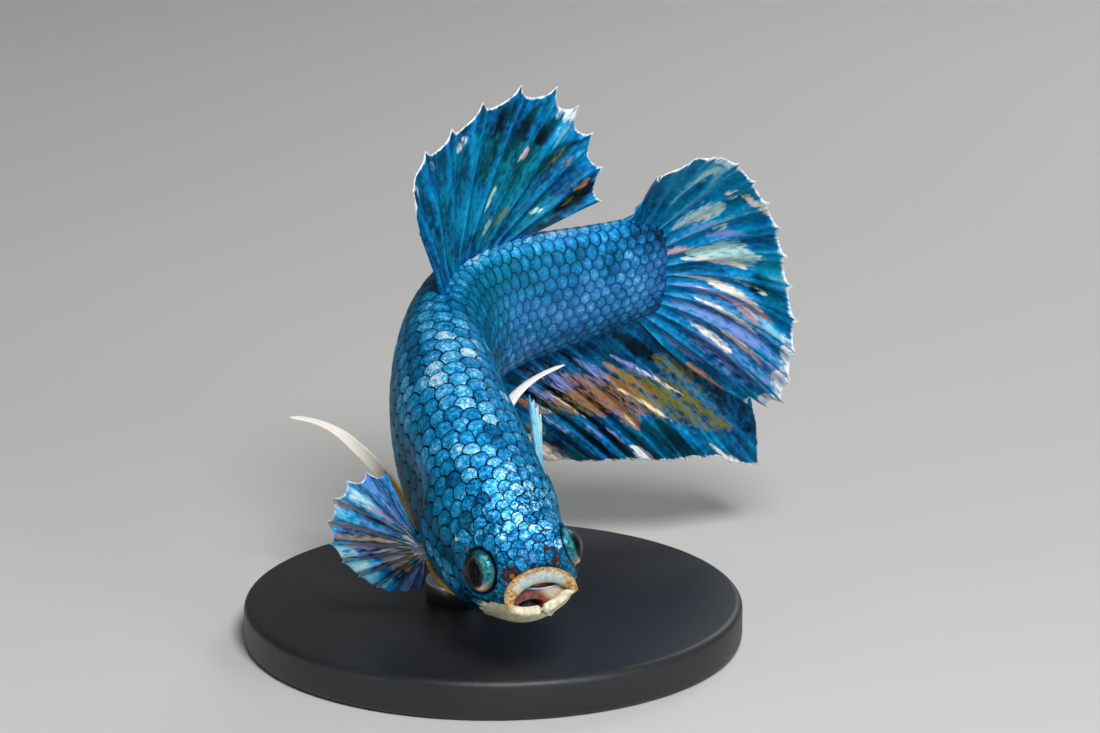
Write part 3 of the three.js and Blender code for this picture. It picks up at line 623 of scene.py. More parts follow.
def makeSkin():
    around = np.arange(skin["columns"]) / skin["columns"]
    lipAngles = angleAt(skin["firstRing"], around)
    rows, marks = [], []

    def addRow(points, station, **extra):
        named = {key: 0.0 for key in ("lip", "glow", "outline", "gum")}
        named.update(extra)
        values = markingsAndPaintedLight(np.full(len(points), station), around, points)
        values.update({key: np.broadcast_to(value, len(points)) for key, value in named.items()})
        rows.append(points)
        marks.append(values)

    swing = np.abs((lipAngles + 180) % 360 - 180)
    upper = 1 - smoothstep(98, 122, swing)
    for scale, depth in reversed(skin["hollow"]):
        addRow(hollowRow(lipAngles, scale, depth), 0.0, gum=1.0)
    first, last, turns = skin["lipTurns"]
    for turn in np.linspace(first, last, turns):
        inner = 1 - smoothstep(-20, 15, turn)
        centreGlow = (1 - smoothstep(38, 62, swing)) * (1 - smoothstep(95, 130, turn))
        lining = upper * smoothstep(185, 205, turn) * 0.9
        addRow(lipRow(lipAngles, turn), 0.0, lip=upper, glow=centreGlow, gum=inner * 0.8, outline=lining)
    grooveRing = skinPoint(np.full(len(around), skin["groove"]), around, -skin["grooveDepth"])
    addRow(grooveRing, skin["groove"], outline=upper * 0.8)
    stations = [
        *np.arange(skin["firstRing"], skin["fineEnd"], skin["fineStep"]),
        *np.arange(skin["fineEnd"], body["length"], skin["coarseStep"]),
        *skin["closing"],
    ]
    for station in stations:
        ring = np.full(len(around), station)
        points = skinPoint(ring, around)
        normals = skinNormal(ring, around)
        for place in pattern["nostrils"]:
            reach = np.linalg.norm(points - skinPoint(place[0], aroundAt(*place)), axis=-1)
            rim = bump(reach, pattern["nostrilRadius"], 0.12) - 0.8 * bump(reach, 0, 0.13)
            points = points + normals * (pattern["nostrilRise"] * rim)[:, None]
        notch = bump(angleAt(station, around), skin["notch"], skin["notchWidth"])
        chin = bump(angleAt(station, around), skin["chinTip"], 2 * skin["notchWidth"])
        relief = skin["chinTipRise"] * chin - skin["notchDepth"] * notch
        relief = relief * (1 - smoothstep(0.3, skin["notchReach"], station - 0.3))
        points = points + normals * relief[:, None]
        addRow(points, station)
    count = len(rows)
    points = np.concatenate(rows)
    faces = gridFaces(count, skin["columns"], closed=True)
    values = {key: np.concatenate([m[key] for m in marks]) for key in marks[0]}
    bareEdge = np.concatenate([np.full(len(around), s) for s in [0.0] * (count - len(stations)) + stations])
    eyeGap = np.minimum(*[np.linalg.norm(points - eyeFrame(side)[0], axis=-1) for side in (1, -1)])
    values["bare"] = np.maximum(1 - smoothstep(1.0, 1.5, bareEdge), 1 - smoothstep(1.8, 2.2, eyeGap))
    values["light"] = values["light"] - 0.2 * (1 - values["bare"])
    ends = []
    for first, ring in ((0, rows[0]), ((count - 1) * skin["columns"], rows[-1])):
        centre = len(points) + len(ends)
        ends.append(ring.mean(0))
        for k in range(skin["columns"]):
            a, b = first + k, first + (k + 1) % skin["columns"]
            faces.append([b, a, centre] if first == 0 else [a, b, centre])
    points = np.concatenate([points, ends])
    values = {key: np.concatenate([array, array[[0, -1]]]) for key, array in values.items()}
    return addPiece(
        "skin", points, faces, scaledSkin("blue_guanine_skin", True),
        nodes=("head", "lower_jaw", "upper_lip", "gill_cover_left", "gill_cover_right",
               "trunk_front", "trunk_middle", "trunk_rear", "tail_stalk"),
        values=values,
    )


makeSkin()
print("skin made")

# ---- the scales, overlapping like roof tiles with their free edges towards the tail

scale = {
    "rows": 26, "first": 0.95, "last": 43.5,
    # station, distance from one scale to the next along a row
    "spacing": [
        [0, 0.5], [1.5, 0.6], [3, 0.72], [5, 0.84], [7, 0.93], [12, 1.02], [18, 1.04], [26, 0.93], [34, 0.82],
        [41, 0.72], [43.5, 0.55],
    ],
    "rings": (0.3, 0.55, 0.75, 0.88, 0.96, 1.0), "sectors": 20, "roundness": 2.4,
    "halfLength": 0.78, "halfWidth": 0.7, "shift": 0.2,
    "lift": 0.125, "headLift": 0.13, "dome": 0.03, "headDome": 0.01, "bevel": 0.03, "sunk": 0.06,
    "sizeSpread": 0.07, "turnSpread": 9.0, "placeSpread": 0.055, "toneSpread": 0.2,
    "pieces": 3, "patch": 0.003, "unwrapped": 44.0, "crowding": 0.24, "seed": 11,
}


def scalePlaces():
    stations = np.linspace(0, 44, 4401)
    pitch = np.interp(stations, *np.transpose(scale["spacing"]))
    phase = np.concatenate([[0], np.cumsum((stations[1] - stations[0]) / pitch[:-1])])
    places = []
    for row in range(scale["rows"]):
        offset = 0.5 * (row % 2)
        first = math.ceil(np.interp(scale["first"], stations, phase) - offset)
        last = math.floor(np.interp(scale["last"], stations, phase) - offset)
        for k in range(first, last + 1):
            places.append((np.interp(k + offset, phase, stations), row / scale["rows"]))
    station, around = np.array(places).T
    # narrower rows on the crown
    crowding = scale["crowding"] * smoothstep(1.5, 6, station) * (1 - smoothstep(10, 18, station))
    width = 1 - crowding * np.cos(2 * math.pi * around)
    around = around - crowding * np.sin(2 * math.pi * around) / (2 * math.pi)
    return np.stack([station, around, width], -1)


def keptScales(places):
    station, around = places[:, :2].T
    points = skinPoint(station, around)
    across = np.abs((angleAt(station, around) + 180) % 360 - 180)
    keep = station > lerp(0.95, 1.5, smoothstep(50, 85, across))
    edge = np.interp(station, *np.transpose(pattern["paleEdge"]))
    keep &= (across < edge - 1) | (station > 8.2)
    for side in (1, -1):
        rim, look, fore, up = eyeFrame(side)
        depth = dot(points - rim, look)
        radius = np.linalg.norm(points - rim - depth[:, None] * look, axis=-1)
        keep &= (radius > 1.88) | (depth < -1.6)
    off = (across - gillCover["angle"]) / gillCover["sweep"]
    ahead = gillCover["station"] + gillCover["reach"] * np.sqrt(np.clip(1 - off**2, 0, 1)) - station
    keep &= ~((np.abs(off) < 1) & (ahead > -0.5) & (ahead < 0.3))
    return places[keep]


def makeScales():
    random = np.random.default_rng(scale["seed"])
    places = keptScales(scalePlaces())
    number = len(places)
    station, around, width = places.T
    onHead = 1 - smoothstep(3, 9, station)
    loose = 1 + onHead
    pitch = np.interp(station, *np.transpose(scale["spacing"]))
    station = station + random.normal(0, scale["placeSpread"], number) * pitch * loose
    around = around + random.normal(0, scale["placeSpread"], number) / scale["rows"] * loose
    size = 1 + random.normal(0, scale["sizeSpread"], number)
    turn = np.radians(random.normal(0, scale["turnSpread"], number)) * (1 + 0.4 * onHead)
    tone = random.normal(0, 1, number).clip(-2, 2) * 0.5 * scale["toneSpread"]

    turns = np.arange(scale["sectors"]) * 2 * math.pi / scale["sectors"]
    power = scale["roundness"]
    reach = (np.abs(np.cos(turns)) ** power + np.abs(np.sin(turns)) ** power) ** (-1 / power)
    shares = np.array([*scale["rings"], 1.0])
    along = np.concatenate([[0], np.outer(shares, reach * np.cos(turns)).ravel(), [0]])
    across = np.concatenate([[0], np.outer(shares, reach * np.sin(turns)).ravel(), [0]])
    ring = np.concatenate([[0], np.repeat(shares, scale["sectors"]), [0]])
    lifted = smoothstep(-1.0, 0.75, along)
    under = np.arange(len(ring)) > len(scale["rings"]) * scale["sectors"]  # the skirt and the underside

    lift = lerp(scale["lift"], scale["headLift"], onHead)[:, None]
    dome = lerp(scale["dome"], scale["headDome"], onHead)[:, None]
    height = lift * lifted + dome * (1 - ring**2) - scale["bevel"] * (ring > 0.99)
    height = np.where(under, -scale["sunk"], height)
    p = along * np.cos(turn)[:, None] - across * np.sin(turn)[:, None]
    q = along * np.sin(turn)[:, None] + across * np.cos(turn)[:, None]
    girthStep = width[:, None] / scale["rows"]
    stations = station[:, None] + (pitch * size)[:, None] * (scale["halfLength"] * p - scale["shift"])
    arounds = around[:, None] + size[:, None] * scale["halfWidth"] * girthStep * q
    base = skinPoint(stations, arounds)
    normals = skinNormal(stations, arounds)
    points = base + normals * height[..., None]

    values = markingsAndPaintedLight(stations, arounds, points)
    rearward = smoothstep(18, 26, station)[:, None]
    # each scale is painted lighter at its middle and darker at its front where the scale ahead covers it:
    # painted highlight and painted shade
    blob = np.exp(-((along - 0.35) / 0.5) ** 2 - (across / 0.6) ** 2)
    glow = lerp(0.12, 0.24, rearward) * (blob - 0.4)
    values["light"] = values["light"] + tone[:, None] * (1 - 0.4 * rearward) + glow
    # the tip of each rear scale gets a wider dark rim: painted shadow cast by the raised free edge
    shaded = rearward * smoothstep(0.2, 0.9, along) * (1 - smoothstep(0.35, 0.95, np.abs(across)))
    values["rim"] = np.where(along > -0.35, ring, 0.9 * ring) + 0.1 * shaded
    middles = np.stack([station / scale["unwrapped"], around % 1], -1)[:, None]
    patches = middles + 0.5 * scale["patch"] * np.stack(np.broadcast_arrays(along, across), -1)

    sectors = scale["sectors"]
    k = np.arange(sectors)
    after = (k + 1) % sectors
    plate = [[0, 1 + a, 1 + b] for a, b in zip(k, after)]
    for r in range(len(shares) - 1):
        low, high = 1 + r * sectors, 1 + (r + 1) * sectors
        plate += [[low + a, high + a, high + b, low + b] for a, b in zip(k, after)]
    skirt, bottom = 1 + (len(shares) - 1) * sectors, len(ring) - 1
    plate += [[skirt + b, skirt + a, bottom] for a, b in zip(k, after)]

    material = scaledSkin("blue_guanine_scales", False)
    for part, chosen in enumerate(np.array_split(np.argsort(station, kind="stable"), scale["pieces"])):
        faces = [[c + i * len(ring) for c in face] for i in range(len(chosen)) for face in plate]
        addPiece(
            f"scales_{part + 1}", points[chosen], faces, material,
            values={key: array[chosen] for key, array in values.items()}, patches=patches[chosen],
        )
    print(number, "scales")


makeScales()

# ---- fins

finColors = {
    "abyss": "#001320", "deep": "#00406a", "middle": "#0072b0", "light": "#14a2de", "ice": "#9ae2f6",
    "teal": "#008a98", "mint": "#c2ebe0", "cream": "#fdeeda", "gold": "#bd9a22", "orange": "#c4703a",
    "olive": "#77751c", "violet": "#8196da", "pink": "#e3bcbf", "white": "#f8fbfd",
}
finBuild = {
    "columnsPerGap": 12, "steps": 56, "spike": 0.05, "spikeWidth": 0.16,
    "rootHalf": 0.3, "plainHalf": (0.085, 0.045), "ridgeHalf": (0.13, 0.05), "ridgeWidth": (0.13, 0.075),
    "forkStart": 0.38, "fork": 0.17, "seat": 0.3, "sink": 1.2, "tipWhite": 0.7,
}
patchKinds = ("teal", "warm", "olive", "violet", "pink", "mint", "cream", "margin")


def finMembrane(name):
    # Thin clear membrane between bony rays, blue with crystals on one side and streaked with gold,
    # cream and lilac where the pigment thins out. The rays are jointed every 0.1 mm in life, drawn coarser.
    material, tree = newMaterial(name)
    color = {key: hexColor(code) for key, code in finColors.items()}
    place = addNode(tree, "TexCoord").outputs["Object"]

    def mask(key):
        return addNode(tree, "Attribute", attribute_name=key).outputs["Fac"]

    def mixed(amount, under, over):
        return mixedColor(tree, amount, under, over)

    def summed(value, factor, more):
        return addNode(tree, "Math", {0: value, 1: factor, 2: more}, operation="MULTIPLY_ADD").outputs[0]

    rayPlace, alongRay = mask("rayPlace"), mask("alongRay")
    slow = addNode(tree, "Math", {0: alongRay, 1: 0.16}, operation="MULTIPLY").outputs[0]
    flow = addNode(tree, "CombineXYZ", {0: rayPlace, 1: slow}).outputs[0]
    streak = addNode(tree, "TexNoise", {"Vector": flow, "Scale": 2.6, "Detail": 4.0}).outputs["Fac"]
    thread = addNode(tree, "TexNoise", {"Vector": flow, "Scale": 9.0, "Detail": 3.0}).outputs["Fac"]
    mottle = noiseAt(tree, place, 0.4, 6.0)
    patch = noiseAt(tree, place, 3.0, 2.0)
    # noise is 0.5 on average, so the last number brings each sum back to its middle
    tone = summed(streak, 0.65, summed(thread, 0.5, summed(mottle, 0.6, mask("light"))))
    tone = addNode(tree, "Math", {0: tone, 1: 0.875}, operation="SUBTRACT").outputs[0]
    blue = addNode(tree, "ValToRGB", {0: tone}, stops=[
        (0.0, color["abyss"]), (0.24, color["deep"]), (0.48, color["middle"]), (0.74, color["light"]),
        (1.0, color["ice"]),
    ]).outputs[0]
    base = addNode(tree, "MapRange", {0: patch, 1: 0.4, 2: 0.62, 3: 0.0, 4: 0.3}).outputs[0]
    tinted = mixed(base, blue, mixed(0.6, blue, color["teal"]))
    veined = addNode(tree, "MapRange", {0: thread, 1: 0.36, 2: 0.56, 3: 0.55, 4: 0.98}).outputs[0]
    rough = summed(streak, 1.5, summed(thread, 1.9, summed(mottle, 0.5, -1.95)))
    for key in patchKinds:
        cover = mask(key)
        near = addNode(tree, "Math", {0: cover, 1: 3.0}, operation="MULTIPLY", use_clamp=True).outputs[0]
        worn = summed(rough, near, cover)
        amount = addNode(tree, "MapRange", {0: worn, 1: 0.26, 2: 1.02, 3: 0.0, 4: 1.0}).outputs[0]
        amount = addNode(tree, "Math", {0: amount, 1: veined}, operation="MULTIPLY").outputs[0]
        over = color.get(key, color["white"])
        if key == "warm":
            warmth = addNode(tree, "MapRange", {0: thread, 1: 0.42, 2: 0.58, 3: 0.0, 4: 1.0}).outputs[0]
            over = mixed(warmth, color["gold"], color["orange"])
        if key == "teal":
            over = mixed(0.35, color["teal"], blue)
        tinted = mixed(amount, tinted, over)
    joints = addNode(tree, "Math", {0: alongRay, 1: 2 * math.pi / 0.18}, operation="MULTIPLY").outputs[0]
    joints = addNode(tree, "Math", {0: joints}, operation="SINE").outputs[0]
    jointed = addNode(tree, "Math", {0: joints, 1: mask("ridge")}, operation="MULTIPLY").outputs[0]
    fading = addNode(tree, "MapRange", {0: alongRay, 1: 1.0, 2: 7.0, 3: 1.0, 4: 0.15}).outputs[0]
    jointed = addNode(tree, "Math", {0: jointed, 1: fading}, operation="MULTIPLY").outputs[0]
    shade = addNode(tree, "MapRange", {0: jointed, 1: 0.0, 2: 1.0, 3: 0.0, 4: 0.4}).outputs[0]
    tinted = mixed(shade, tinted, color["deep"])
    relief = summed(jointed, 0.3, summed(mottle, 0.5, thread))
    bumped = addNode(tree, "Bump", {"Height": relief, "Strength": 0.7, "Distance": 0.05 * metre})
    shader = addNode(tree, "BsdfPrincipled", {
        "Base Color": tinted, "Metallic": 0.15, "Roughness": 0.45, "Normal": bumped.outputs[0],
        "IOR": 1.34, "Specular IOR Level": 0.15,
    })
    addNode(tree, "OutputMaterial", {"Surface": shader.outputs[0]})
    return material


membrane = finMembrane("ray_fin_membrane")

# Rows of each fin's table: share of the way from the first ray to the last, ray length, sweep, bend by
# the tip, lean to the fish's left, further lean by the tip. Patches of colour: kind, ray where it
# starts and ray where it ends, from and to as shares of the length, half width in ray gaps, strength.
dorsal = {
    "node": "dorsal_fin", "rays": 11, "from": 23.6, "to": 32, "side": 1, "scallop": 0.085, "pleat": 0.13,
    "margin": 0.1,
    "table": [
        [0, 3.6, 92, -4.5, -13, -6], [0.09, 7.6, 91, -4.5, -12, -6], [0.3, 9.8, 73, -4.5, -5, -2.5],
        [0.58, 12.4, 51.5, -4.5, 0.5, 0], [0.82, 9.9, 31, -5, -2, -1], [1, 6.8, 11.5, -6, -1, 0],
    ],
    "light": 0.36,
    "patches": [
        ["teal", 6.2, 6.4, 0.05, 0.75, 1.7, 0.75], ["teal", 8.7, 8.7, 0.15, 0.6, 0.9, 0.8],
        ["teal", 3.4, 3.6, 0.0, 0.9, 2.4, 0.5],
        ["light", 4.2, 4.4, 0.1, 0.55, 0.9, 0.12], ["light", 7.2, 7.0, 0.72, 1.0, 0.6, 0.45],
        ["light", 8.2, 8.4, 0.85, 1.0, 0.45, 0.2], ["dark", 4.7, 4.8, 0.5, 0.97, 0.2, 0.36],
        ["dark", 5.5, 5.8, 0.5, 0.97, 0.18, 0.4], ["dark", 5.9, 6.7, 0.4, 0.97, 0.22, 0.6],
        ["dark", 6.8, 7.9, 0.45, 0.97, 0.22, 0.6], ["dark", 9.3, 9.3, 0.5, 0.97, 0.3, 0.6],
        ["dark", 4.0, 6.5, 0.1, 0.2, 1.2, 0.2], ["dark", 9.8, 10.0, 0.2, 0.6, 0.3, 0.3],
        ["warm", 7.95, 8.05, 0.7, 0.8, 0.1, 0.8], ["olive", 7.5, 7.6, 0.62, 0.86, 0.15, 0.42],
        ["warm", 9.0, 9.1, 0.7, 0.9, 0.1, 0.6], ["olive", 9.3, 9.2, 0.6, 0.85, 0.2, 0.5],
        ["olive", 6.7, 6.8, 0.18, 0.34, 0.14, 0.9], ["pink", 5.95, 6.15, 0.58, 0.68, 0.11, 1.4],
        ["mint", 5.4, 5.5, 0.3, 0.46, 0.12, 0.8], ["mint", 6.0, 6.0, 0.14, 0.28, 0.2, 0.8],
        ["mint", 8.5, 8.8, 0.36, 0.46, 0.2, 0.7], ["margin", 3.4, 3.45, 0.84, 0.94, 0.2, 0.62],
        ["margin", 2.1, 2.2, 0.86, 0.96, 0.12, 0.7], ["margin", 1.25, 1.3, 0.86, 0.97, 0.16, 0.5],
        ["margin", 7.0, 6.9, 0.9, 1.0, 0.3, 0.9],
    ],
}
anal = {
    "node": "anal_fin", "rays": 16, "from": 20.2, "to": 41, "side": -1, "scallop": 0.035, "pleat": 0.14,
    "margin": 0.15,
    "table": [
        [0, 5, 62, 8, 2, 3], [0.15, 8.2, 52, 9, 12, 8], [0.3, 11.2, 48, 9.3, 19.5, 9.7],
        [0.6, 13.1, 45, 9.3, 13, 6.5], [0.85, 14.5, 48.2, 12, 12, 6], [0.94, 16.7, 48.5, 12, 8, 5],
        [1, 13, 42, 11, 3, 3],
    ],
    "light": 0.35,
    "patches": [
        ["warm", 9.4, 10.8, 0.22, 0.66, 2.3, 0.52], ["olive", 12.0, 13.2, 0.3, 0.8, 1.7, 0.62],
        ["violet", 8.6, 9.6, 0.1, 0.4, 2.4, 0.36], ["olive", 7.6, 8.4, 0.3, 0.6, 1.6, 0.4],
        ["violet", 7.7, 7.9, 0.2, 0.42, 0.26, 0.9], ["violet", 9.1, 9.0, 0.16, 0.36, 0.28, 1.1],
        ["violet", 10.7, 11.0, 0.14, 0.36, 0.24, 1.1], ["violet", 12.2, 12.9, 0.18, 0.42, 0.24, 1.0],
        ["violet", 6.5, 6.7, 0.4, 0.8, 0.16, 0.6], ["violet", 7.8, 7.8, 0.62, 0.8, 0.14, 0.6],
        ["violet", 8.6, 8.6, 0.68, 0.86, 0.12, 0.6], ["violet", 5.2, 5.4, 0.2, 0.5, 0.2, 0.5],
        ["cream", 6.9, 7.1, 0.3, 0.5, 0.08, 0.9], ["cream", 8.0, 8.2, 0.3, 0.62, 0.07, 0.9],
        ["dark", 6.0, 5.8, 0.6, 1.0, 0.3, 0.4], ["dark", 7.2, 7.2, 0.66, 1.0, 0.2, 0.4],
        ["dark", 8.2, 8.2, 0.7, 1.0, 0.2, 0.4], ["dark", 9.5, 9.5, 0.75, 1.0, 0.25, 0.4],
        ["warm", 6.6, 6.9, 0.26, 0.5, 0.26, 0.85], ["warm", 7.9, 8.0, 0.28, 0.56, 0.3, 1.0],
        ["warm", 9.0, 9.0, 0.26, 0.62, 0.32, 1.1], ["warm", 9.9, 10.3, 0.24, 0.62, 0.3, 1.2],
        ["warm", 11.1, 11.7, 0.28, 0.7, 0.36, 1.2], ["warm", 11.6, 12.4, 0.22, 0.56, 0.24, 1.1],
        ["warm", 10.1, 10.0, 0.58, 0.74, 0.3, 1.2], ["olive", 12.4, 13.0, 0.4, 0.72, 0.42, 1.1],
        ["olive", 13.0, 14.0, 0.36, 0.8, 0.34, 1.0], ["olive", 13.9, 14.2, 0.24, 0.5, 0.4, 0.8],
        ["olive", 11.8, 12.2, 0.6, 0.74, 0.4, 0.7], ["olive", 5.6, 5.6, 0.5, 0.66, 0.3, 0.9],
        ["cream", 11.0, 11.9, 0.42, 0.72, 0.12, 1.2], ["cream", 12.6, 13.4, 0.3, 0.55, 0.12, 1.0],
        ["cream", 10.1, 10.0, 0.6, 0.7, 0.14, 1.0], ["cream", 4.9, 4.3, 0.6, 1.0, 0.55, 1.5],
        ["cream", 12.7, 13.2, 0.9, 1.0, 0.2, 1.0], ["margin", 8.9, 8.9, 0.86, 1.0, 0.3, 1.2],
        ["dark", 7.3, 7.4, 0.1, 0.9, 0.16, 0.3], ["dark", 8.5, 8.4, 0.1, 0.9, 0.16, 0.34],
        ["dark", 9.5, 9.5, 0.1, 0.6, 0.16, 0.4], ["dark", 10.5, 10.9, 0.05, 0.6, 0.14, 0.4],
        ["dark", 11.3, 11.4, 0.7, 1.0, 0.34, 0.55], ["dark", 10.6, 10.7, 0.68, 0.96, 0.2, 0.4],
        ["dark", 12.0, 12.1, 0.05, 0.3, 0.2, 0.35], ["dark", 13.4, 13.8, 0.05, 0.3, 0.5, 0.4],
        ["light", 12.0, 12.6, 0.74, 0.95, 0.7, 0.1],
    ],
}
caudal = {
    "node": "caudal_fin", "rays": 16, "station": 41, "spread": 3.9, "forward": 1.1, "forwardShare": 0.07,
    "forwardRise": 0.3, "scallop": 0.048, "pleat": 0.16, "margin": 0.15,
    "table": [
        [0, 2.4, 36, 10, 8, 5], [0.07, 8.4, 87.5, 16, 21, 18.5], [0.14, 10, 76, 13, 18, 19],
        [0.21, 10.6, 59, 19, 14.5, 20.5], [0.4, 10.4, 30.5, 14.5, 14.5, 26.5], [0.58, 10.4, 9, -12, 16.5, 29],
        [0.74, 12, -8, -36, 19, 31.5], [0.87, 12.4, -29, -25, 18, 29], [1, 10.8, -60, 26, 8, 24],
    ],
    "light": 0.62,
    "patches": [
        ["violet", 11.8, 12.2, 0.2, 0.95, 2.2, 0.5], ["teal", 3.0, 3.2, 0.1, 1.0, 2.4, 0.5],
        ["light", 4.1, 4.4, 0.2, 0.8, 0.28, 0.2], ["light", 5.8, 6.1, 0.12, 0.75, 0.26, 0.22],
        ["light", 2.9, 3.7, 0.4, 1.0, 0.3, 0.3], ["light", 8.6, 9.0, 0.75, 1.0, 0.35, 0.2],
        ["light", 10.6, 10.9, 0.76, 0.95, 0.22, 0.4], ["dark", 1.5, 1.8, 0.2, 0.95, 0.5, 0.16],
        ["dark", 5.2, 5.3, 0.7, 0.95, 0.4, 0.2], ["dark", 7.2, 7.4, 0.72, 0.98, 0.5, 0.22],
        ["dark", 9.4, 9.8, 0.72, 0.98, 0.55, 0.34], ["dark", 8.9, 8.9, 0.76, 0.88, 0.16, 0.6],
        ["dark", 5.3, 5.4, 0.02, 0.2, 0.5, 0.3], ["dark", 8.6, 8.8, 0.1, 0.6, 0.2, 0.25],
        ["dark", 13.6, 13.8, 0.3, 0.9, 0.35, 0.25], ["dark", 14.9, 14.9, 0.3, 0.85, 0.3, 0.3],
        ["teal", 8.3, 8.7, 0.74, 1.0, 0.7, 1.0], ["teal", 4.9, 5.0, 0.72, 0.98, 0.8, 0.9],
        ["teal", 2.2, 2.6, 0.3, 0.9, 0.5, 0.6], ["teal", 9.6, 9.7, 0.8, 0.98, 0.4, 0.5],
        ["violet", 4.2, 4.35, 0.35, 0.7, 0.14, 0.9], ["violet", 5.9, 6.05, 0.3, 0.7, 0.16, 1.0],
        ["violet", 6.6, 7.0, 0.5, 0.76, 0.16, 1.0], ["violet", 9.9, 10.5, 0.2, 0.72, 0.3, 1.0],
        ["violet", 11.5, 11.8, 0.3, 0.8, 0.4, 0.9], ["violet", 13.1, 13.2, 0.3, 0.72, 0.4, 0.9],
        ["violet", 14.3, 14.4, 0.22, 0.6, 0.26, 1.0], ["violet", 13.0, 13.4, 0.7, 0.95, 0.5, 0.6],
        ["mint", 4.95, 5.4, 0.3, 0.74, 0.4, 1.4], ["mint", 6.4, 6.45, 0.56, 0.68, 0.16, 1.0],
        ["mint", 7.4, 8.2, 0.34, 0.84, 0.48, 1.5], ["mint", 3.2, 3.7, 0.5, 0.92, 0.16, 1.2],
        ["mint", 9.2, 9.6, 0.62, 0.85, 0.12, 0.8],
        ["pink", 6.6, 7.3, 0.16, 0.42, 0.24, 1.4], ["pink", 9.9, 10.7, 0.36, 0.76, 0.14, 1.1],
        ["pink", 12.0, 12.4, 0.46, 0.84, 0.16, 1.2],
        ["warm", 10.25, 10.5, 0.66, 0.87, 0.1, 1.2], ["warm", 10.6, 10.85, 0.6, 0.78, 0.12, 1.1],
        ["warm", 14.9, 15.0, 0.5, 0.85, 0.16, 1.1],
        ["cream", 7.7, 8.65, 0.3, 0.74, 0.16, 1.5], ["cream", 5.3, 5.6, 0.42, 0.62, 0.12, 1.0],
        ["cream", 9.0, 10.3, 0.24, 0.8, 0.16, 1.5], ["cream", 10.8, 11.35, 0.34, 0.76, 0.13, 1.4],
        ["cream", 12.7, 12.8, 0.34, 0.64, 0.13, 1.2], ["cream", 12.1, 12.3, 0.48, 0.8, 0.1, 1.2],
        ["cream", 4.85, 4.95, 0.76, 0.86, 0.08, 1.2], ["cream", 5.2, 5.3, 0.76, 0.86, 0.08, 1.0],
        ["cream", 5.3, 6.4, 0.86, 1.0, 0.28, 1.1],
        ["margin", 11.0, 11.4, 0.9, 1.0, 0.42, 1.2], ["margin", 12.3, 12.4, 0.9, 1.0, 0.4, 1.4],
        ["margin", 13.4, 13.8, 0.93, 1.0, 0.6, 1.0], ["margin", 3.4, 3.8, 0.92, 1.0, 0.5, 0.8],
    ],
}
pectoralRight = {
    "node": "pectoral_fin_right", "rays": 12, "side": -1, "station": 10.8, "angles": (107, 124),
    "scallop": 0.07, "pleat": 0.16, "margin": 0.03, "seat": -0.15,
    "table": [
        [0, 5, 72, 0, 17, 0], [0.1, 5.7, 59, 0, 19, 0], [0.2, 6.2, 45, 0, 20, 0], [0.4, 5.9, 9, 0, 23, 0],
        [0.62, 4.95, -33, 0, 22, 0], [0.8, 4.5, -66, -2, 18, 0], [1, 3.7, -96, -1, 20, 0],
    ],
    "light": 0.52,
    "patches": [
        ["violet", 1.0, 1.2, 0.1, 1.0, 1.6, 0.55], ["violet", 5.5, 5.5, 0.2, 1.0, 3.5, 0.4],
        ["violet", 9.5, 10.5, 0.3, 1.0, 1.6, 0.7],
        ["dark", 2.9, 3.1, 0.4, 0.95, 0.25, 0.4], ["dark", 4.1, 4.3, 0.35, 0.95, 0.3, 0.6],
        ["dark", 5.3, 5.5, 0.35, 0.95, 0.3, 0.6], ["dark", 6.6, 6.8, 0.3, 0.8, 0.3, 0.5],
        ["dark", 7.5, 7.6, 0.3, 0.85, 0.2, 0.4], ["dark", 8.2, 8.4, 0.3, 0.8, 0.3, 0.4],
        ["mint", 2.1, 2.35, 0.62, 0.95, 0.36, 0.62],
        ["mint", 5.3, 5.5, 0.76, 1.0, 0.3, 0.6], ["mint", 6.3, 6.6, 0.74, 1.0, 0.3, 0.65],
        ["light", 3.4, 3.5, 0.7, 1.0, 0.5, 0.34], ["light", 5.0, 5.2, 0.66, 1.0, 1.0, 0.3],
        ["light", 6.3, 6.6, 0.62, 1.0, 1.0, 0.36], ["light", 8.0, 8.4, 0.72, 1.0, 1.2, 0.3],
        ["light", 2.3, 2.4, 0.5, 1.0, 0.7, 0.3],
        ["olive", 6.0, 6.4, 0.05, 0.55, 3.2, 0.75], ["warm", 6.5, 7.0, 0.05, 0.5, 3.0, 0.6],
        ["warm", 1.9, 2.5, 0.1, 0.9, 0.12, 1.0], ["warm", 2.4, 3.05, 0.12, 1.0, 0.12, 1.1],
        ["warm", 3.6, 4.0, 0.1, 1.0, 0.12, 1.2], ["warm", 4.2, 4.5, 0.1, 1.0, 0.1, 1.1],
        ["warm", 4.9, 5.1, 0.1, 0.9, 0.12, 1.1], ["warm", 5.6, 6.0, 0.1, 0.8, 0.14, 1.1],
        ["warm", 6.7, 7.0, 0.1, 0.8, 0.14, 1.1], ["warm", 7.7, 8.0, 0.1, 0.7, 0.14, 0.9],
        ["warm", 8.9, 9.3, 0.1, 0.7, 0.14, 0.9], ["warm", 10.2, 10.5, 0.1, 0.6, 0.14, 0.8],
        ["cream", 3.0, 3.2, -0.1, 0.2, 1.2, 0.7], ["cream", 6.0, 6.4, -0.1, 0.14, 2.6, 0.7],
        ["cream", 9.5, 10.0, -0.1, 0.2, 1.4, 0.7], ["olive", 1.0, 1.0, -0.1, 0.3, 1.5, 0.6],
    ],
}
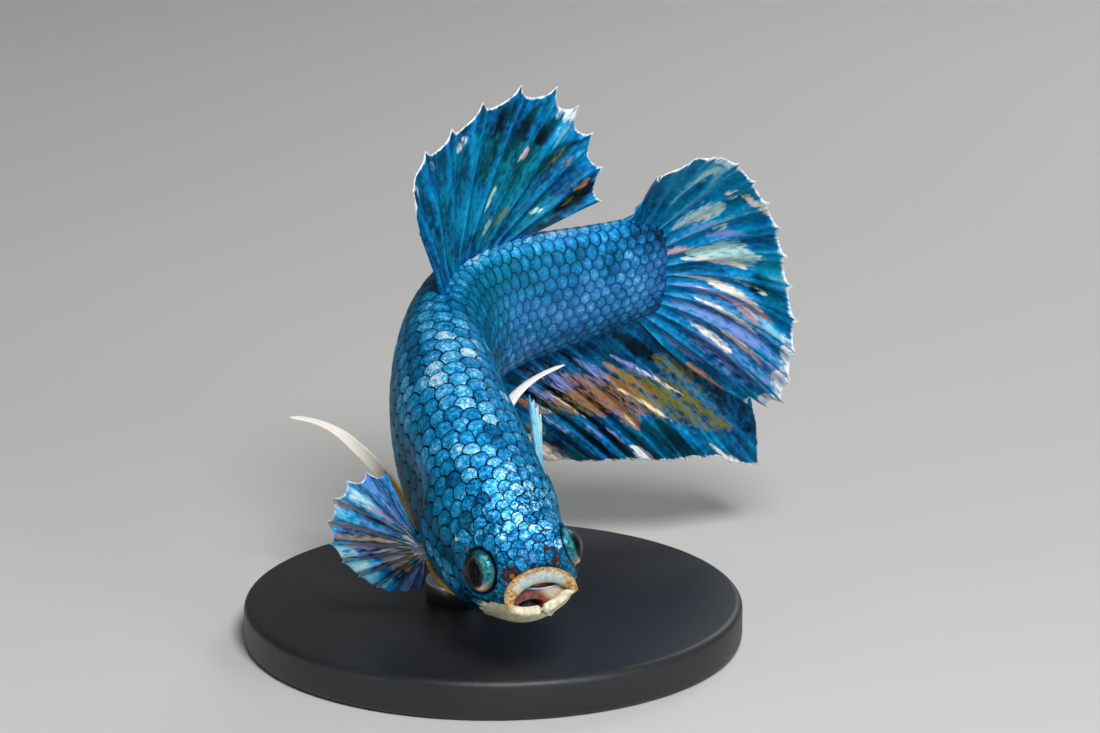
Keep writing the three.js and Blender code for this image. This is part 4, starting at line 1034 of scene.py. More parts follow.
pectoralLeft = {
    "node": "pectoral_fin_left", "rays": 9, "side": 1, "station": 10.8, "angles": (94, 122),
    "scallop": 0.06, "pleat": 0.13, "margin": 0.25, "seat": 0.3,
    "table": [
        [0, 8.4, 19, 0, 72, 3.5], [0.35, 8.7, 6, 1, 68, 2], [0.7, 8.5, -9, 2, 67, 1],
        [1, 8.1, -18.5, 2, 66, 1],
    ],
    "light": 0.86,
    "patches": [
        ["light", 3.0, 3.0, 0.5, 1.0, 3.0, 0.2], ["mint", 1.5, 1.6, 0.6, 1.0, 0.5, 1.0],
        ["mint", 4.5, 4.6, 0.6, 1.0, 0.5, 0.9], ["mint", 6.8, 6.9, 0.55, 1.0, 0.5, 0.9],
        ["warm", 4.0, 4.0, 0.1, 0.5, 0.12, 0.8], ["margin", 3.0, 3.0, 0.8, 1.0, 0.5, 1.0],
    ],
}


def finMasks(fin, rayPlace, reach, length, ridge):
    masks = {"light": np.full(reach.shape, fin["light"]) + 0.16 * ridge - 0.1 * (1 - ridge)}
    for key in patchKinds:
        masks[key] = np.zeros(reach.shape)
    for kind, firstRay, lastRay, start, end, halfWidth, strength in fin["patches"]:
        # a leaf that narrows towards its root, and towards its far end unless that is the margin
        t = np.clip((reach - start) / (end - start), 0, 1)
        leaf = np.sqrt(np.clip(t / 0.45, 0, 1))
        if end < 1:
            leaf = leaf * np.sqrt(np.clip((1 - t) / 0.3, 0, 1))
        away = np.abs(rayPlace[:, None] - lerp(firstRay, lastRay, t))
        inside = np.exp(-(0.85 * away / np.maximum(halfWidth * leaf, 0.02)) ** 2) * (leaf > 0.02)
        if kind in ("dark", "light"):
            masks["light"] = masks["light"] + (strength if kind == "light" else -strength) * inside
        else:
            masks[kind] = np.maximum(masks[kind], strength * inside)
    toMargin = (1 - reach) * length[:, None]
    fromRay = np.abs((rayPlace + 0.5) % 1 - 0.5)[:, None]
    width = fin["margin"] * (1 + finBuild["tipWhite"] * (1 - smoothstep(0, 0.3, fromRay)))
    rimmed = 1.3 * (1 - smoothstep(0.2, 1.7, toMargin / width)) * smoothstep(0, 1, rayPlace)[:, None]
    masks["margin"] = np.maximum(masks["margin"], rimmed)
    masks["ridge"] = ridge
    masks["rayPlace"] = np.broadcast_to(rayPlace[:, None], reach.shape)
    masks["alongRay"] = reach * length[:, None]
    return masks


def finPiece(name, fin, share, root, base, along, across, sideways):
    steps = finBuild["steps"]
    values = smoothTable(fin["table"], share)
    rayPlace = share * (fin["rays"] - 1)
    between = rayPlace % 1
    dip = np.clip(1 - (2 * between - 1) ** 2, 0, 1) ** 0.7
    fromRay = np.minimum(between, 1 - between)
    spike = finBuild["spike"] * np.clip(1 - fromRay / finBuild["spikeWidth"], 0, 1)
    length = values[:, 0] * (1 - fin["scallop"] * dip) + spike
    shares = (np.arange(steps) + 0.5) / steps
    a = np.radians(values[:, 1:2] + values[:, 2:3] * shares)[..., None]
    b = np.radians(values[:, 3:4] + values[:, 4:5] * shares)[..., None]
    directions = (np.cos(a) * np.cos(b) * along[:, None] + np.sin(a) * np.cos(b) * across[:, None]
                  + np.sin(b) * sideways[:, None])
    steady = np.cumsum(directions * (length / steps)[:, None, None], axis=1)
    lines = np.concatenate([root[:, None], base[:, None], base[:, None] + steady], axis=1)
    reach = np.concatenate([[0, 0], np.arange(1, steps + 1) / steps])
    reach = np.broadcast_to(reach, lines.shape[:2])

    fork = finBuild["fork"] * smoothstep(finBuild["forkStart"], 1, reach)
    width = lerp(*finBuild["ridgeWidth"], reach)
    place = between[:, None]
    ridge = np.maximum.reduce([bump(place, centre, width) for centre in (fork, -fork, 1 - fork, 1 + fork)])
    acrossSheet, alongSheet = np.gradient(lines, axis=0), np.gradient(lines, axis=1)
    normal = unit(np.cross(acrossSheet, alongSheet))
    pleat = fin["pleat"] * np.cos(2 * math.pi * place) * smoothstep(0.05, 0.5, reach)
    middle = lines + normal * pleat[..., None]
    half = lerp(*finBuild["plainHalf"], reach) + ridge * lerp(*finBuild["ridgeHalf"], reach)
    half = half + (finBuild["rootHalf"] - half) * (1 - smoothstep(0, 0.09, reach))
    rounded = np.sqrt(np.clip(1 - np.clip(reach * steps - steps + 1.5, 0, 1) ** 2 * 0.75, 0, 1))
    half = half * rounded
    front, rear = middle + normal * half[..., None], middle - normal * half[..., None]
    sheet = np.concatenate([front, rear[::-1]], axis=0).transpose(1, 0, 2)  # rows of closed rings
    rows, columns = sheet.shape[:2]
    faces = gridFaces(rows, columns, closed=True)
    last, count = (rows - 1) * columns, len(share)
    for c in range(count - 1):
        corners = [c, c + 1, columns - 2 - c, columns - 1 - c]
        faces.append(corners[::-1])
        faces.append([last + k for k in corners])
    masks = finMasks(fin, rayPlace, reach, length, ridge)
    doubled = {key: np.concatenate([m, m[::-1]], axis=0).T for key, m in masks.items()}
    return addPiece(name, sheet, faces, membrane, nodes=(fin["node"],), values=doubled)


def finShares(fin):
    return np.linspace(0, 1, (fin["rays"] - 1) * finBuild["columnsPerGap"] + 1)


def ridgeFin(name, fin):
    share = finShares(fin)
    station = lerp(fin["from"], fin["to"], share)
    point, tail, left, back = frameAt(station)
    outward = back * fin["side"]
    base = bodyPoint(station, 0 if fin["side"] > 0 else 180) - outward * finBuild["seat"]
    finPiece(name, fin, share, base - outward * finBuild["sink"], base, tail, outward, left)


def tailFin(name, fin):
    share = finShares(fin)
    forward = fin["forward"] * np.maximum(0, 1 - share / fin["forwardShare"])
    point, tail, left, back = frameAt(fin["station"] - forward)
    base = point + back * (fin["spread"] * (1 - 2 * share) + fin["forwardRise"] * forward)[:, None]
    finPiece(name, fin, share, base - tail * finBuild["sink"], base, tail, back, left)


def pectoralFin(name, fin):
    share = finShares(fin)
    point, tail, left, back = (np.broadcast_to(v, (len(share), 3)) for v in frameAt(fin["station"]))
    outward = left * fin["side"]
    base = bodyPoint(np.full(len(share), fin["station"]), fin["side"] * lerp(*fin["angles"], share))
    base = base - outward * fin["seat"]
    finPiece(name, fin, share, base - outward * finBuild["sink"], base, outward, back, tail)


ridgeFin("dorsal_membrane", dorsal)
ridgeFin("anal_membrane", anal)
tailFin("caudal_membrane", caudal)
pectoralFin("pectoral_membrane_right", pectoralRight)
pectoralFin("pectoral_membrane_left", pectoralLeft)
print("fins made")

# ---- pelvic fins: a long narrow blade with a yellow stem and a short free ray beside it

pelvic = {
    "station": 9, "angle": 153, "steps": 90, "sides": 18, "thickness": 0.42, "tipThickness": 0.2,
    "thinnest": 0.3, "stemWidth": 0.5, "stemEnd": 0.52, "broadStart": 0.66, "taperStart": 0.72,
    "tipWidth": 0.42,
    "grooves": 0.12,
    "right": {
        "node": "pelvic_fin_right", "side": -1, "length": 22.4, "width": 1.08,
        "outward": [18, -6, -7, 8, 25, 73], "rise": [-18, -3, 3, 3, 16, 5],
    },
    "left": {
        "node": "pelvic_fin_left", "side": 1, "length": 22.2, "width": 0.88,
        "outward": [26, 11, 12, 42, 106], "rise": [-16, 2, 11, 10, 15],
    },
    "freeRay": {"start": 0.57, "length": 2.3, "width": 0.62},
    "colors": {"stem": "#ffbe18", "stemShade": "#dc9a10", "blade": "#fdf8ec", "blush": "#f3d4bd",
        "mint": "#d6e8da"},
}


def palePelvic(name):
    # A thick opaque ray without crystals: yolk-yellow at the stem, bone white with a pink flush beyond
    material, tree = newMaterial(name)
    color = {key: hexColor(code) for key, code in pelvic["colors"].items()}
    reach = addNode(tree, "Attribute", attribute_name="reach").outputs["Fac"]
    turn = addNode(tree, "Attribute", attribute_name="turn").outputs["Fac"]
    flow = addNode(tree, "CombineXYZ", {0: turn, 1: reach}).outputs[0]
    streak = addNode(tree, "TexNoise", {"Vector": flow, "Scale": 3.5, "Detail": 4.0}).outputs["Fac"]
    place = addNode(tree, "TexCoord").outputs["Object"]
    mottle = noiseAt(tree, place, 0.8, 3.0)
    flush = addNode(tree, "MapRange", {0: streak, 1: 0.47, 2: 0.67, 3: 0.0, 4: 0.55}).outputs[0]
    blade = mixedColor(tree, flush, color["blade"], color["blush"])
    cool = addNode(tree, "MapRange", {0: mottle, 1: 0.5, 2: 0.66, 3: 0.0, 4: 0.35}).outputs[0]
    blade = mixedColor(tree, cool, blade, color["mint"])
    shade = addNode(tree, "MapRange", {0: streak, 1: 0.48, 2: 0.68, 3: 0.0, 4: 0.7}).outputs[0]
    stem = mixedColor(tree, shade, color["stem"], color["stemShade"])
    along = addNode(tree, "Math", {0: streak, 1: 0.16, 2: reach}, operation="MULTIPLY_ADD").outputs[0]
    paling = addNode(tree, "MapRange", {0: along, 1: 0.66, 2: 0.75, 3: 0.0, 4: 1.0}).outputs[0]
    base = mixedColor(tree, paling, stem, blade)
    bumped = addNode(tree, "Bump", {"Height": streak, "Strength": 0.6, "Distance": 0.08 * metre})
    shader = addNode(tree, "BsdfPrincipled", {
        "Base Color": base, "Roughness": 0.42, "Normal": bumped.outputs[0], "IOR": 1.42,
        "Subsurface Weight": 0.15, "Subsurface Scale": 0.3 * metre, "Coat Weight": 0.2,
        "Coat Roughness": 0.25,
    })
    addNode(tree, "OutputMaterial", {"Surface": shader.outputs[0]})
    return material


def pelvicDirection(fin, share):
    point, tail, left, back = frameAt(pelvic["station"])
    shares = np.linspace(0, 1, len(fin["outward"]))
    a = np.radians(np.interp(share, shares, fin["outward"]))[..., None]
    b = np.radians(np.interp(share, np.linspace(0, 1, len(fin["rise"])), fin["rise"]))[..., None]
    outward = left * fin["side"]
    along = np.cos(a) * np.cos(b) * tail + np.sin(a) * np.cos(b) * outward + np.sin(b) * back
    across = unit(np.cross(back, along))
    return along, across, np.cross(along, across)


def bladeTube(points, across, up, halfWidth, halfThick, reach, first):
    sides = pelvic["sides"]
    turns = np.arange(sides) * 2 * math.pi / sides
    groove = 1 - pelvic["grooves"] * np.abs(np.sin(3 * turns))
    ring = across[:, None] * (halfWidth[:, None] * np.cos(turns) * groove)[..., None]
    ring = ring + up[:, None] * (halfThick[:, None] * np.sin(turns) * groove)[..., None]
    tube = points[:, None] + ring
    rows = len(points)
    faces = gridFaces(rows, sides, closed=True)
    ends = np.array([points[0], points[-1]])
    for k in range(sides):
        n = (k + 1) % sides
        faces.append([n, k, rows * sides])
        faces.append([(rows - 1) * sides + k, (rows - 1) * sides + n, rows * sides + 1])
    faces = [[c + first for c in face] for face in faces]
    values = {
        "reach": np.concatenate([np.repeat(reach, sides), reach[[0, -1]]]),
        "turn": np.concatenate([np.tile(np.cos(turns), rows), [0, 0]]),
    }
    return np.concatenate([tube.reshape(-1, 3), ends]), faces, values


def pelvicFin(name, fin, material):
    steps = pelvic["steps"]
    share = np.arange(steps + 1) / steps
    along, across, up = pelvicDirection(fin, share)
    step = fin["length"] / steps
    root = bodyPoint(pelvic["station"], fin["side"] * pelvic["angle"])
    points = root + np.concatenate([np.zeros((1, 3)), np.cumsum(along[:-1] * step, axis=0)])
    broad = smoothstep(pelvic["stemEnd"], pelvic["broadStart"], share)
    taper = lerp(1, pelvic["tipWidth"], smoothstep(pelvic["taperStart"], 1, share))
    width = fin["width"] * lerp(pelvic["stemWidth"], 1, broad) * taper
    closing = np.sqrt(np.clip((1 - share) / 0.03, 0.02, 1))
    halfWidth = np.maximum(width, pelvic["thinnest"]) / 2 * closing
    halfThick = lerp(pelvic["thickness"], pelvic["tipThickness"], share) / 2 * closing
    mesh = [bladeTube(points, across, up, halfWidth, halfThick, share, 0)]

    free = pelvic["freeRay"]
    i = round(free["start"] * steps)
    count = 24
    grown = np.arange(count + 1) / count
    heading = unit(along[i] - 0.1 * across[i] * fin["side"])
    line = points[i] + heading * (free["length"] * grown)[:, None]
    line = line - across[i] * fin["side"] * (0.25 * grown**2)[:, None]
    halfFree = free["width"] / 2 * np.sin(math.pi * np.clip(grown * 0.85 + 0.12, 0, 1)) ** 0.7 + 0.03
    thickFree = np.full(count + 1, 0.13) * np.sqrt(np.clip((1 - grown) / 0.1, 0.02, 1))
    repeated = [np.broadcast_to(v[i], (count + 1, 3)) for v in (across, up)]
    mesh.append(bladeTube(line, *repeated, halfFree, thickFree, free["start"] + 0.1 * grown, len(mesh[0][0])))
    allPoints = np.concatenate([m[0] for m in mesh])
    values = {key: np.concatenate([m[2][key] for m in mesh]) for key in mesh[0][2]}
    addPiece(
        name, allPoints, mesh[0][1] + mesh[1][1], material, nodes=(fin["node"],), values=values)


pelvicMaterial = palePelvic("bone_white_ray")
pelvicFin("pelvic_blade_right", pelvic["right"], pelvicMaterial)
pelvicFin("pelvic_blade_left", pelvic["left"], pelvicMaterial)
print("pelvic fins made")

# ---- eyes: an opaque ball with a sunk pupil under a clear cornea

eyeball = {
    "sides": 72, "pupilRadius": 0.72, "pupilHeight": 0.46, "lens": 0.3, "irisEdge": 1.22, "irisFoot": 0.16,
    "whiteEdge": 1.34, "corneaEdge": 1.37, "corneaThickness": 0.05,
    # the pupil is an oval: its shift towards the snout, how far its long axis leans back, the two stretches
    "pupilShift": 0.12, "pupilLean": 125.0, "stretch": (1.14, 0.87), "haze": 0.003,
    "colors": {
        "pupil": "#010203", "teal": "#0f8c9e", "tealDeep": "#04384f", "glint": "#7fdcd6", "rear": "#04101c",
        "paintedCorneaSheen": "#62717e", "pearl": "#f4ead8", "gold": "#b98a3c", "ring": "#0a141d", "rim": "#a8772c",
    },
}


def irisMaterial():
    # Wet iris packed with crystals: teal on the snout side, near black behind, a pearl patch low in front,
    # and a painted sheen of the clear cornea's edge on its rear rim
    material, tree = newMaterial("teal_iris")
    color = {key: hexColor(code) for key, code in eyeball["colors"].items()}
    place = addNode(tree, "TexCoord").outputs["Object"]

    def mask(key):
        return addNode(tree, "Attribute", attribute_name=key).outputs["Fac"]

    def mixed(amount, under, over):
        return mixedColor(tree, amount, under, over)

    grain = addNode(tree, "TexVoronoi", {"Vector": place, "Scale": perMillimetre(0.09)})
    speck = addNode(tree, "SeparateColor", {0: grain.outputs["Color"]}).outputs[0]
    cloud = noiseAt(tree, place, 0.4, 3.0)
    bright = addNode(tree, "MapRange", {0: cloud, 1: 0.46, 2: 0.68, 3: 0.0, 4: 0.6}).outputs[0]
    teal = mixed(bright, mixed(speck, color["tealDeep"], color["teal"]), color["glint"])
    pearl = mixed(speck, color["pearl"], color["gold"])
    tinted = mixed(mask("teal"), color["rear"], teal)
    # a blue-grey band on the rear rim stands in for the clear cornea's edge catching light: painted sheen
    tinted = mixed(mask("paintedCorneaSheen"), tinted, color["paintedCorneaSheen"])
    tinted = mixed(mask("pearl"), tinted, pearl)
    tinted = mixed(mask("pupilRim"), tinted, color["rim"])
    tinted = mixed(mask("ring"), tinted, color["ring"])
    tinted = mixed(mask("pupil"), tinted, color["pupil"])
    metal = addNode(tree, "MapRange", {0: mask("teal"), 1: 0.0, 2: 1.0, 3: 0.0, 4: 0.4}).outputs[0]
    bumped = addNode(tree, "Bump", {"Height": speck, "Strength": 0.5, "Distance": 0.02 * metre})
    shader = addNode(tree, "BsdfPrincipled", {
        "Base Color": tinted, "Metallic": metal, "Roughness": 0.35, "Normal": bumped.outputs[0], "IOR": 1.34,
        "Specular IOR Level": 0.1,
    })
    addNode(tree, "OutputMaterial", {"Surface": shader.outputs[0]})
    return material


def corneaMaterial():
    # Clear wet cornea with a faint blue-grey haze; only its outer face shines
    material, tree = newMaterial("clear_cornea")
    clear = addNode(tree, "BsdfTransparent").outputs[0]
    haze = addNode(tree, "BsdfDiffuse", {"Color": hexColor("#9fb6c6")}).outputs[0]
    body = addNode(tree, "MixShader", {0: eyeball["haze"], 1: clear, 2: haze}).outputs[0]
    gloss = addNode(tree, "BsdfGlossy", {"Color": (1, 1, 1, 1), "Roughness": 0.03}).outputs[0]
    bounce = addNode(tree, "Fresnel", {"IOR": 1.15}).outputs[0]
    inside = addNode(tree, "NewGeometry").outputs["Backfacing"]
    outside = addNode(tree, "Math", {0: 1.0, 1: inside}, operation="SUBTRACT").outputs[0]
    bounce = addNode(tree, "Math", {0: bounce, 1: outside}, operation="MULTIPLY").outputs[0]
    surface = addNode(tree, "MixShader", {0: bounce, 1: body, 2: gloss}).outputs[0]
    addNode(tree, "OutputMaterial", {"Surface": surface})
    return material


def makeEyes():
    iris, cornea = irisMaterial(), corneaMaterial()
    low = eyeRadius - eye["bulge"]
    pupil, deep, foot, lens = (eyeball[key] for key in ("pupilRadius", "pupilHeight", "irisFoot", "lens"))
    for side, name in ((1, "left"), (-1, "right")):
        rim, look, fore, up = eyeFrame(side)
        t = np.linspace(0, math.pi / 2, 9)
        wide = eyeball["irisEdge"] - pupil
        irisCurve = [(pupil + wide * math.sin(a), foot + (deep - foot) * math.cos(a)) for a in t]
        behind = [(eyeRadius * 0.97 * math.cos(a), -low + eyeRadius * 0.97 * math.sin(a))
                  for a in np.linspace(0.36, -math.pi / 2, 12)[:-1]]
        profile = [
            (0, deep + lens), (pupil * 0.4, deep + 0.85 * lens), (pupil * 0.75, deep + 0.45 * lens),
            *irisCurve,
            (eyeball["whiteEdge"], 0.0), *behind, (0, -low - eyeRadius * 0.97),
        ]
        points, faces = turned(profile[::-1], eyeball["sides"], rim, look, fore, up)
        offset = points - rim
        depth, ahead, above = dot(offset, look), dot(offset, fore), dot(offset, up)
        radius = np.hypot(ahead, above)
        turn = np.degrees(np.arctan2(above, ahead))
        frontSide = depth > -0.1
        blend = (1 - smoothstep(pupil, eyeball["irisEdge"], radius)) * frontSide
        lean = math.radians(eyeball["pupilLean"])
        length = ahead * math.cos(lean) + above * math.sin(lean)
        width = above * math.cos(lean) - ahead * math.sin(lean)
        length = length * (eyeball["stretch"][0] - 1) * blend
        width = width * (eyeball["stretch"][1] - 1) * blend
        forward = length * math.cos(lean) - width * math.sin(lean) + eyeball["pupilShift"] * blend
        moved = fore * forward[:, None]
        points = points + moved + up * (length * math.sin(lean) + width * math.cos(lean))[:, None]
        fromTop = np.abs((turn - 50 + 180) % 360 - 180)
        fromRear = np.abs((turn + 125 + 180) % 360 - 180)
        addPiece(f"eyeball_{name}", points, faces, iris, nodes=(f"eye_{name}",), values={
            "teal": (1 - smoothstep(52, 82, fromTop)) * frontSide,
            "paintedCorneaSheen": 0.75 * (1 - smoothstep(30, 60, fromRear)) * bump(radius, 1.2, 0.13) * frontSide,
            "pearl": bump(turn, -40, 24) * smoothstep(0.78, 0.9, radius) * frontSide,
            "ring": smoothstep(1.2, 1.3, radius),
            "pupilRim": 0.4 * bump(radius, pupil + 0.06, 0.04) * frontSide,
            "pupil": 1 - smoothstep(pupil - 0.03, pupil + 0.05, radius),
        })
        dome = []
        for size in (eyeRadius + 0.01, eyeRadius + 0.01 - eyeball["corneaThickness"]):
            edge = math.acos(eyeball["corneaEdge"] / (eyeRadius + 0.01))
            dome.append([(size * math.cos(a), -low + size * math.sin(a))
                         for a in np.linspace(edge, math.pi / 2, 14)[:-1]] + [(0, -low + size)])
        points, faces = turned([*dome[1][::-1], *dome[0]], eyeball["sides"], rim, look, fore, up)
        addPiece(f"cornea_{name}", points, faces, cornea)


makeEyes()
print("eyes made")

# ---- lining of the open mouth

lining = {
    "halfWidth": 1.95, "halfHeight": 1.05, "rise": 0.2, "depth": 0.3, "thickness": 0.16, "rings": 22,
    "sides": 110,
    # the pearly edge of the gum: its lowest point, how it curves up, its end
    "line": (0.35, 0.24), "lineCurve": 0.14, "lineEnds": (-1.15, 1.5), "lineRise": 0.2, "slitDepth": 0.25,
    "hole": (-1.0, -0.6), "holeSize": (0.75, 0.3), "holeDepth": 0.6,
    "colors": {
        "membrane": "#7c4338", "shade": "#35181a", "orange": "#b8482a", "line": "#a3bbd8",
        # the hole colour on the next line is near black: painted shade in the throat opening
        "cream": "#b8ab8e", "hole": "#0b0507", "red": "#b83c2c",
    },
}


def liningMaterial():
    # Wet gum, pink-brown and mottled, with a pearly ridge, and the throat opening painted near black: painted
    # shade
    material, tree = newMaterial("wet_gum")
    color = {key: hexColor(code) for key, code in lining["colors"].items()}
    place = addNode(tree, "TexCoord").outputs["Object"]
    mottle = noiseAt(tree, place, 0.25, 4.0)
    share = addNode(tree, "MapRange", {0: mottle, 1: 0.4, 2: 0.65, 3: 0.0, 4: 1.0}).outputs[0]
    tinted = mixedColor(tree, share, color["membrane"], color["shade"])
    for key in ("cream", "orange", "hole", "red", "line"):
        amount = addNode(tree, "Attribute", attribute_name=key).outputs["Fac"]
        tinted = mixedColor(tree, amount, tinted, color[key])
    bumped = addNode(tree, "Bump", {"Height": mottle, "Strength": 0.5, "Distance": 0.05 * metre})
    shader = addNode(tree, "BsdfPrincipled", {
        "Base Color": tinted, "Roughness": 0.25, "Normal": bumped.outputs[0], "IOR": 1.4,
        "Coat Weight": 0.5, "Coat Roughness": 0.1,
    })
    addNode(tree, "OutputMaterial", {"Surface": shader.outputs[0]})
    return material


def makeLining():
    middle, gape, up, left = mouthFrame()
    turns = np.arange(lining["sides"]) * 2 * math.pi / lining["sides"]
    shares = np.arange(1, lining["rings"] + 1) / lining["rings"]
    u = mouth["aside"] + lining["halfWidth"] * np.concatenate([[0], np.outer(shares, np.sin(turns)).ravel()])
    v = np.concatenate([[0], np.outer(shares, np.cos(turns)).ravel()])
    v = mouth["low"] + lining["rise"] + lining["halfHeight"] * v
    lineAside, lineLow = lining["line"]
    aboveLine = v - lineLow - lining["lineCurve"] * (u - lineAside) ** 2
    low, high = lining["lineEnds"]
    inside = smoothstep(low - 0.15, low + 0.15, u) * (1 - smoothstep(high - 0.15, high + 0.15, u))
    (holeAside, holeLow), (holeWidth, holeHeight) = lining["hole"], lining["holeSize"]
    hole = np.hypot((u - holeAside) / holeWidth, (v - holeLow) / holeHeight)
    masks = {
        "line": bump(aboveLine, 0, 0.075) * inside,
        "orange": smoothstep(0.05, 0.12, aboveLine) * inside * smoothstep(-0.7, -0.3, u),
        "cream": smoothstep(-0.35, 0.25, u + 0.6 * v) * (1 - smoothstep(-0.12, -0.02, aboveLine)),
        "hole": 1 - smoothstep(0.75, 1.25, hole),
        "red": 0.7 * bump(np.hypot((u + 0.1) / 0.3, (v + 0.35) / 0.16), 0, 0.8),
    }
    depth = lining["depth"] - lining["lineRise"] * masks["line"] + lining["slitDepth"] * masks["orange"]
    depth = depth + lining["holeDepth"] * masks["hole"] - 0.12 * masks["cream"]
    flat = middle + left * u[:, None] + up * v[:, None]
    front = flat - gape * depth[:, None]
    rear = flat - gape * (depth + lining["thickness"])[:, None]
    sides, count = lining["sides"], len(front)
    faces = []
    for start, flipped in ((0, False), (count, True)):
        for k in range(sides):
            n = (k + 1) % sides
            rim = [[start, start + 1 + k, start + 1 + n]]
            for r in range(lining["rings"] - 1):
                low, high = start + 1 + r * sides, start + 1 + (r + 1) * sides
                rim.append([low + k, high + k, high + n, low + n])
            faces += [face[::-1] for face in rim] if flipped else rim
    edge = 1 + (lining["rings"] - 1) * sides
    for k in range(sides):
        n = (k + 1) % sides
        faces.append([edge + k, count + edge + k, count + edge + n, edge + n])
    addPiece("mouth_lining", np.concatenate([front, rear]), faces, liningMaterial(),
             values={key: np.tile(array, 2) for key, array in masks.items()})


makeLining()
print("mouth lining made")

# ---- display stand

stand = {
    "radius": 16.0, "height": 2.6, "edge": 0.5, "sides": 180, "rodRadius": 1.1, "rodStation": 15.5,
    "collarRadius": 2.2, "collarHeight": 1.5, "collarEdge": 0.3, "intoBelly": 1.4,
    "coat": "#151618", "coatWorn": "#26282b", "steel": "#b9bcc0",
}


def powderCoat(name):
    # Polyester powder coat baked on steel: satin black with a fine orange-peel surface, pits about 0.5 mm
    material, tree = newMaterial(name)
    place = addNode(tree, "TexCoord").outputs["Object"]
    peel = noiseAt(tree, place, 0.5, 2.0)
    cloud = noiseAt(tree, place, 9, 3.0)
    base = addNode(tree, "Mix", {0: cloud, 6: hexColor(stand["coat"]), 7: hexColor(stand["coatWorn"])},
                   data_type="RGBA").outputs[2]
    rough = addNode(tree, "MapRange", {0: cloud, 1: 0.3, 2: 0.7, 3: 0.4, 4: 0.52}).outputs[0]
    bumped = addNode(tree, "Bump", {"Height": peel, "Strength": 0.35, "Distance": 0.05 * metre})
    shader = addNode(tree, "BsdfPrincipled", {
        "Base Color": base, "Roughness": rough, "Normal": bumped.outputs[0], "IOR": 1.5,
    })
    addNode(tree, "OutputMaterial", {"Surface": shader.outputs[0]})
    return material


def brushedSteel(name):
    # Stainless steel turned and brushed round its axis: fine rings about 0.06 mm apart
    material, tree = newMaterial(name)
    place = addNode(tree, "TexCoord").outputs["Object"]
    height = addNode(tree, "SeparateXYZ", {0: place}).outputs[2]
    lines = addNode(tree, "TexNoise", {"W": height, "Scale": perMillimetre(0.06), "Detail": 2.0},
                    noise_dimensions="1D").outputs["Fac"]
    rough = addNode(tree, "MapRange", {0: lines, 1: 0.3, 2: 0.7, 3: 0.22, 4: 0.36}).outputs[0]
    bumped = addNode(tree, "Bump", {"Height": lines, "Strength": 0.3, "Distance": 0.01 * metre})
    shader = addNode(tree, "BsdfPrincipled", {
        "Base Color": hexColor(stand["steel"]), "Metallic": 1.0, "Roughness": rough,
        "Normal": bumped.outputs[0],
    })
    addNode(tree, "OutputMaterial", {"Surface": shader.outputs[0]})
    return material


def makeStand():
    coated, steel = powderCoat("black_powder_coat"), brushedSteel("brushed_stainless_steel")
    x, y, z = np.eye(3)
    edge, radius, height = stand["edge"], stand["radius"], stand["height"]
    profile = [(0, 0), (radius - edge, 0), *arc(radius - edge, edge, edge, -80, 0, 6)]
    profile += [*arc(radius - edge, height - edge, edge, 0, 90, 7), (radius * 0.5, height), (0, height)]
    points, faces = turned(profile, stand["sides"], np.zeros(3), z, x, y)
    addPiece("base_disc", points, faces, coated, nodes=("stand_base",))
    foot = bodyPoint(stand["rodStation"], 180)
    under = vector(foot[0], foot[1], 0)
    edge, outer, rod = stand["collarEdge"], stand["collarRadius"], stand["rodRadius"]
    top = height + stand["collarHeight"]
    profile = [(0, height - 0.05), (outer, height - 0.05), *arc(outer - edge, top - edge, edge, 0, 90, 6)]
    profile += [(rod + 0.15, top), (rod + 0.1, top - 0.3), (0, top - 0.3)]
    points, faces = turned(profile, 72, under, z, x, y)
    addPiece("rod_collar", points, faces, steel, nodes=("stand_collar",))
    end = foot[2] + stand["intoBelly"]
    profile = [(0, height + 0.2), (rod, height + 0.2), (rod, lerp(height, end, 0.5)), (rod, end), (0, end)]
    points, faces = turned(profile, 64, under, z, x, y)
    addPiece("rod", points, faces, steel, nodes=("stand_rod",))


makeStand()
print("stand made")

# ---- stage, lights and camera

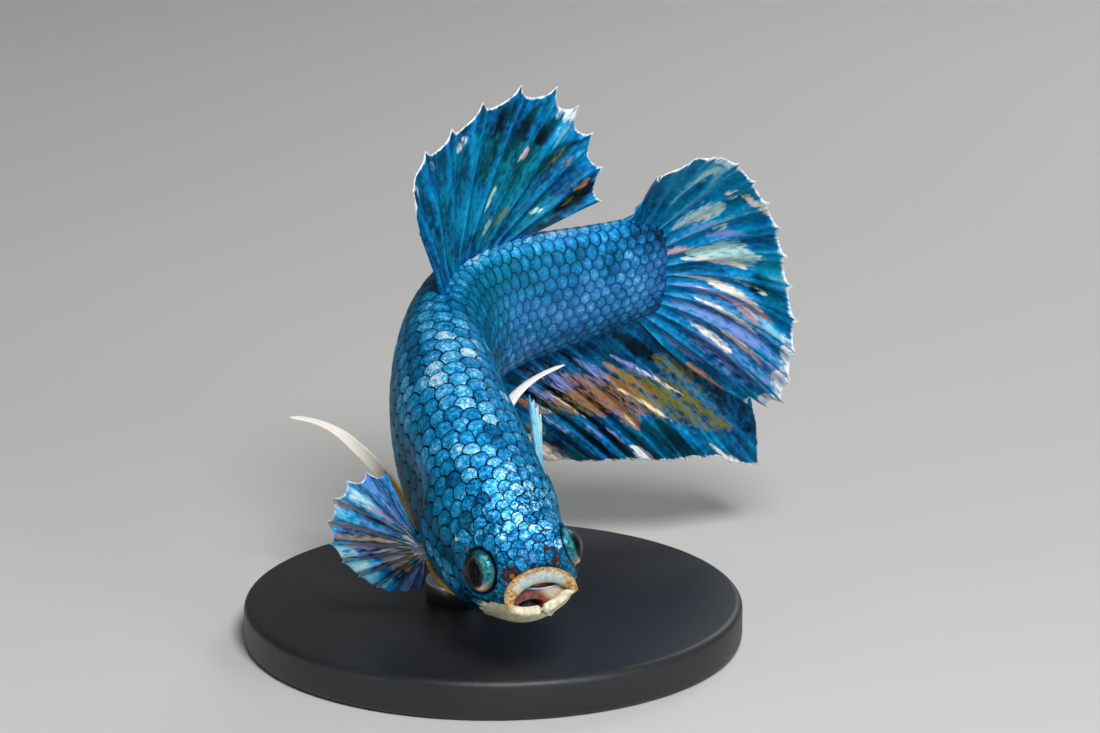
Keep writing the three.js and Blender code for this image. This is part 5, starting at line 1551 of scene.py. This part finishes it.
stage = {
    "floor": "#cdcdca", "floorSize": 4000.0, "world": "#e9eaec", "worldStrength": 0.17,
    "target": (3.64, 1.88, 17.47), "cameraPlace": (3.64, -281.69, 98.78), "lens": 151.5,
    # name, place in mm, size in mm, watts, color
    "lights": [
        ["key", (60, -210, 250), 120, 0.95, "#ffffff"],
        ["fill", (230, -230, 110), 130, 0.22, "#f4f8ff"],
        ["rim", (120, 220, 160), 120, 0.18, "#ffffff"],
        ["left", (-230, -190, 60), 130, 0.06, "#ffffff"],
    ],
}


def aimed(item, place, target):
    item.location = vector(*place) * metre
    away = item.location - type(item.location)(vector(*target) * metre)
    item.rotation_euler = away.to_track_quat("Z", "Y").to_euler()


def makeStage():
    scene = bpy.context.scene
    half = stage["floorSize"] / 2
    mesh = bpy.data.meshes.new("floor")
    corners = [(-half, -half), (half, -half), (half, half), (-half, half)]
    mesh.from_pydata([(x * metre, y * metre, -0.02 * metre) for x, y in corners], [], [[0, 1, 2, 3]])
    material, tree = newMaterial("pale_paper")
    shader = addNode(tree, "BsdfPrincipled", {"Base Color": hexColor(stage["floor"]), "Roughness": 0.85})
    addNode(tree, "OutputMaterial", {"Surface": shader.outputs[0]})
    mesh.materials.append(material)
    floor = bpy.data.objects.new("floor", mesh)
    scene.collection.objects.link(floor)

    scene.world = bpy.data.worlds.new("studio")
    scene.world.use_nodes = True
    background = scene.world.node_tree.nodes["Background"]
    background.inputs["Color"].default_value = hexColor(stage["world"])
    background.inputs["Strength"].default_value = stage["worldStrength"]
    for name, place, size, watts, code in stage["lights"]:
        lamp = bpy.data.lights.new(name, "AREA")
        lamp.shape = "DISK"
        lamp.size, lamp.energy, lamp.color = size * metre, watts, hexColor(code)[:3]
        item = bpy.data.objects.new(name, lamp)
        scene.collection.objects.link(item)
        aimed(item, place, stage["target"])

    camera = bpy.data.cameras.new("camera")
    camera.sensor_width, camera.lens = 36.0, stage["lens"]
    camera.clip_start, camera.clip_end = 0.01, 20.0
    item = bpy.data.objects.new("camera", camera)
    scene.collection.objects.link(item)
    aimed(item, stage["cameraPlace"], stage["target"])
    scene.camera = item
    scene.view_settings.view_transform = "Standard"


makeStage()
print("stage made")
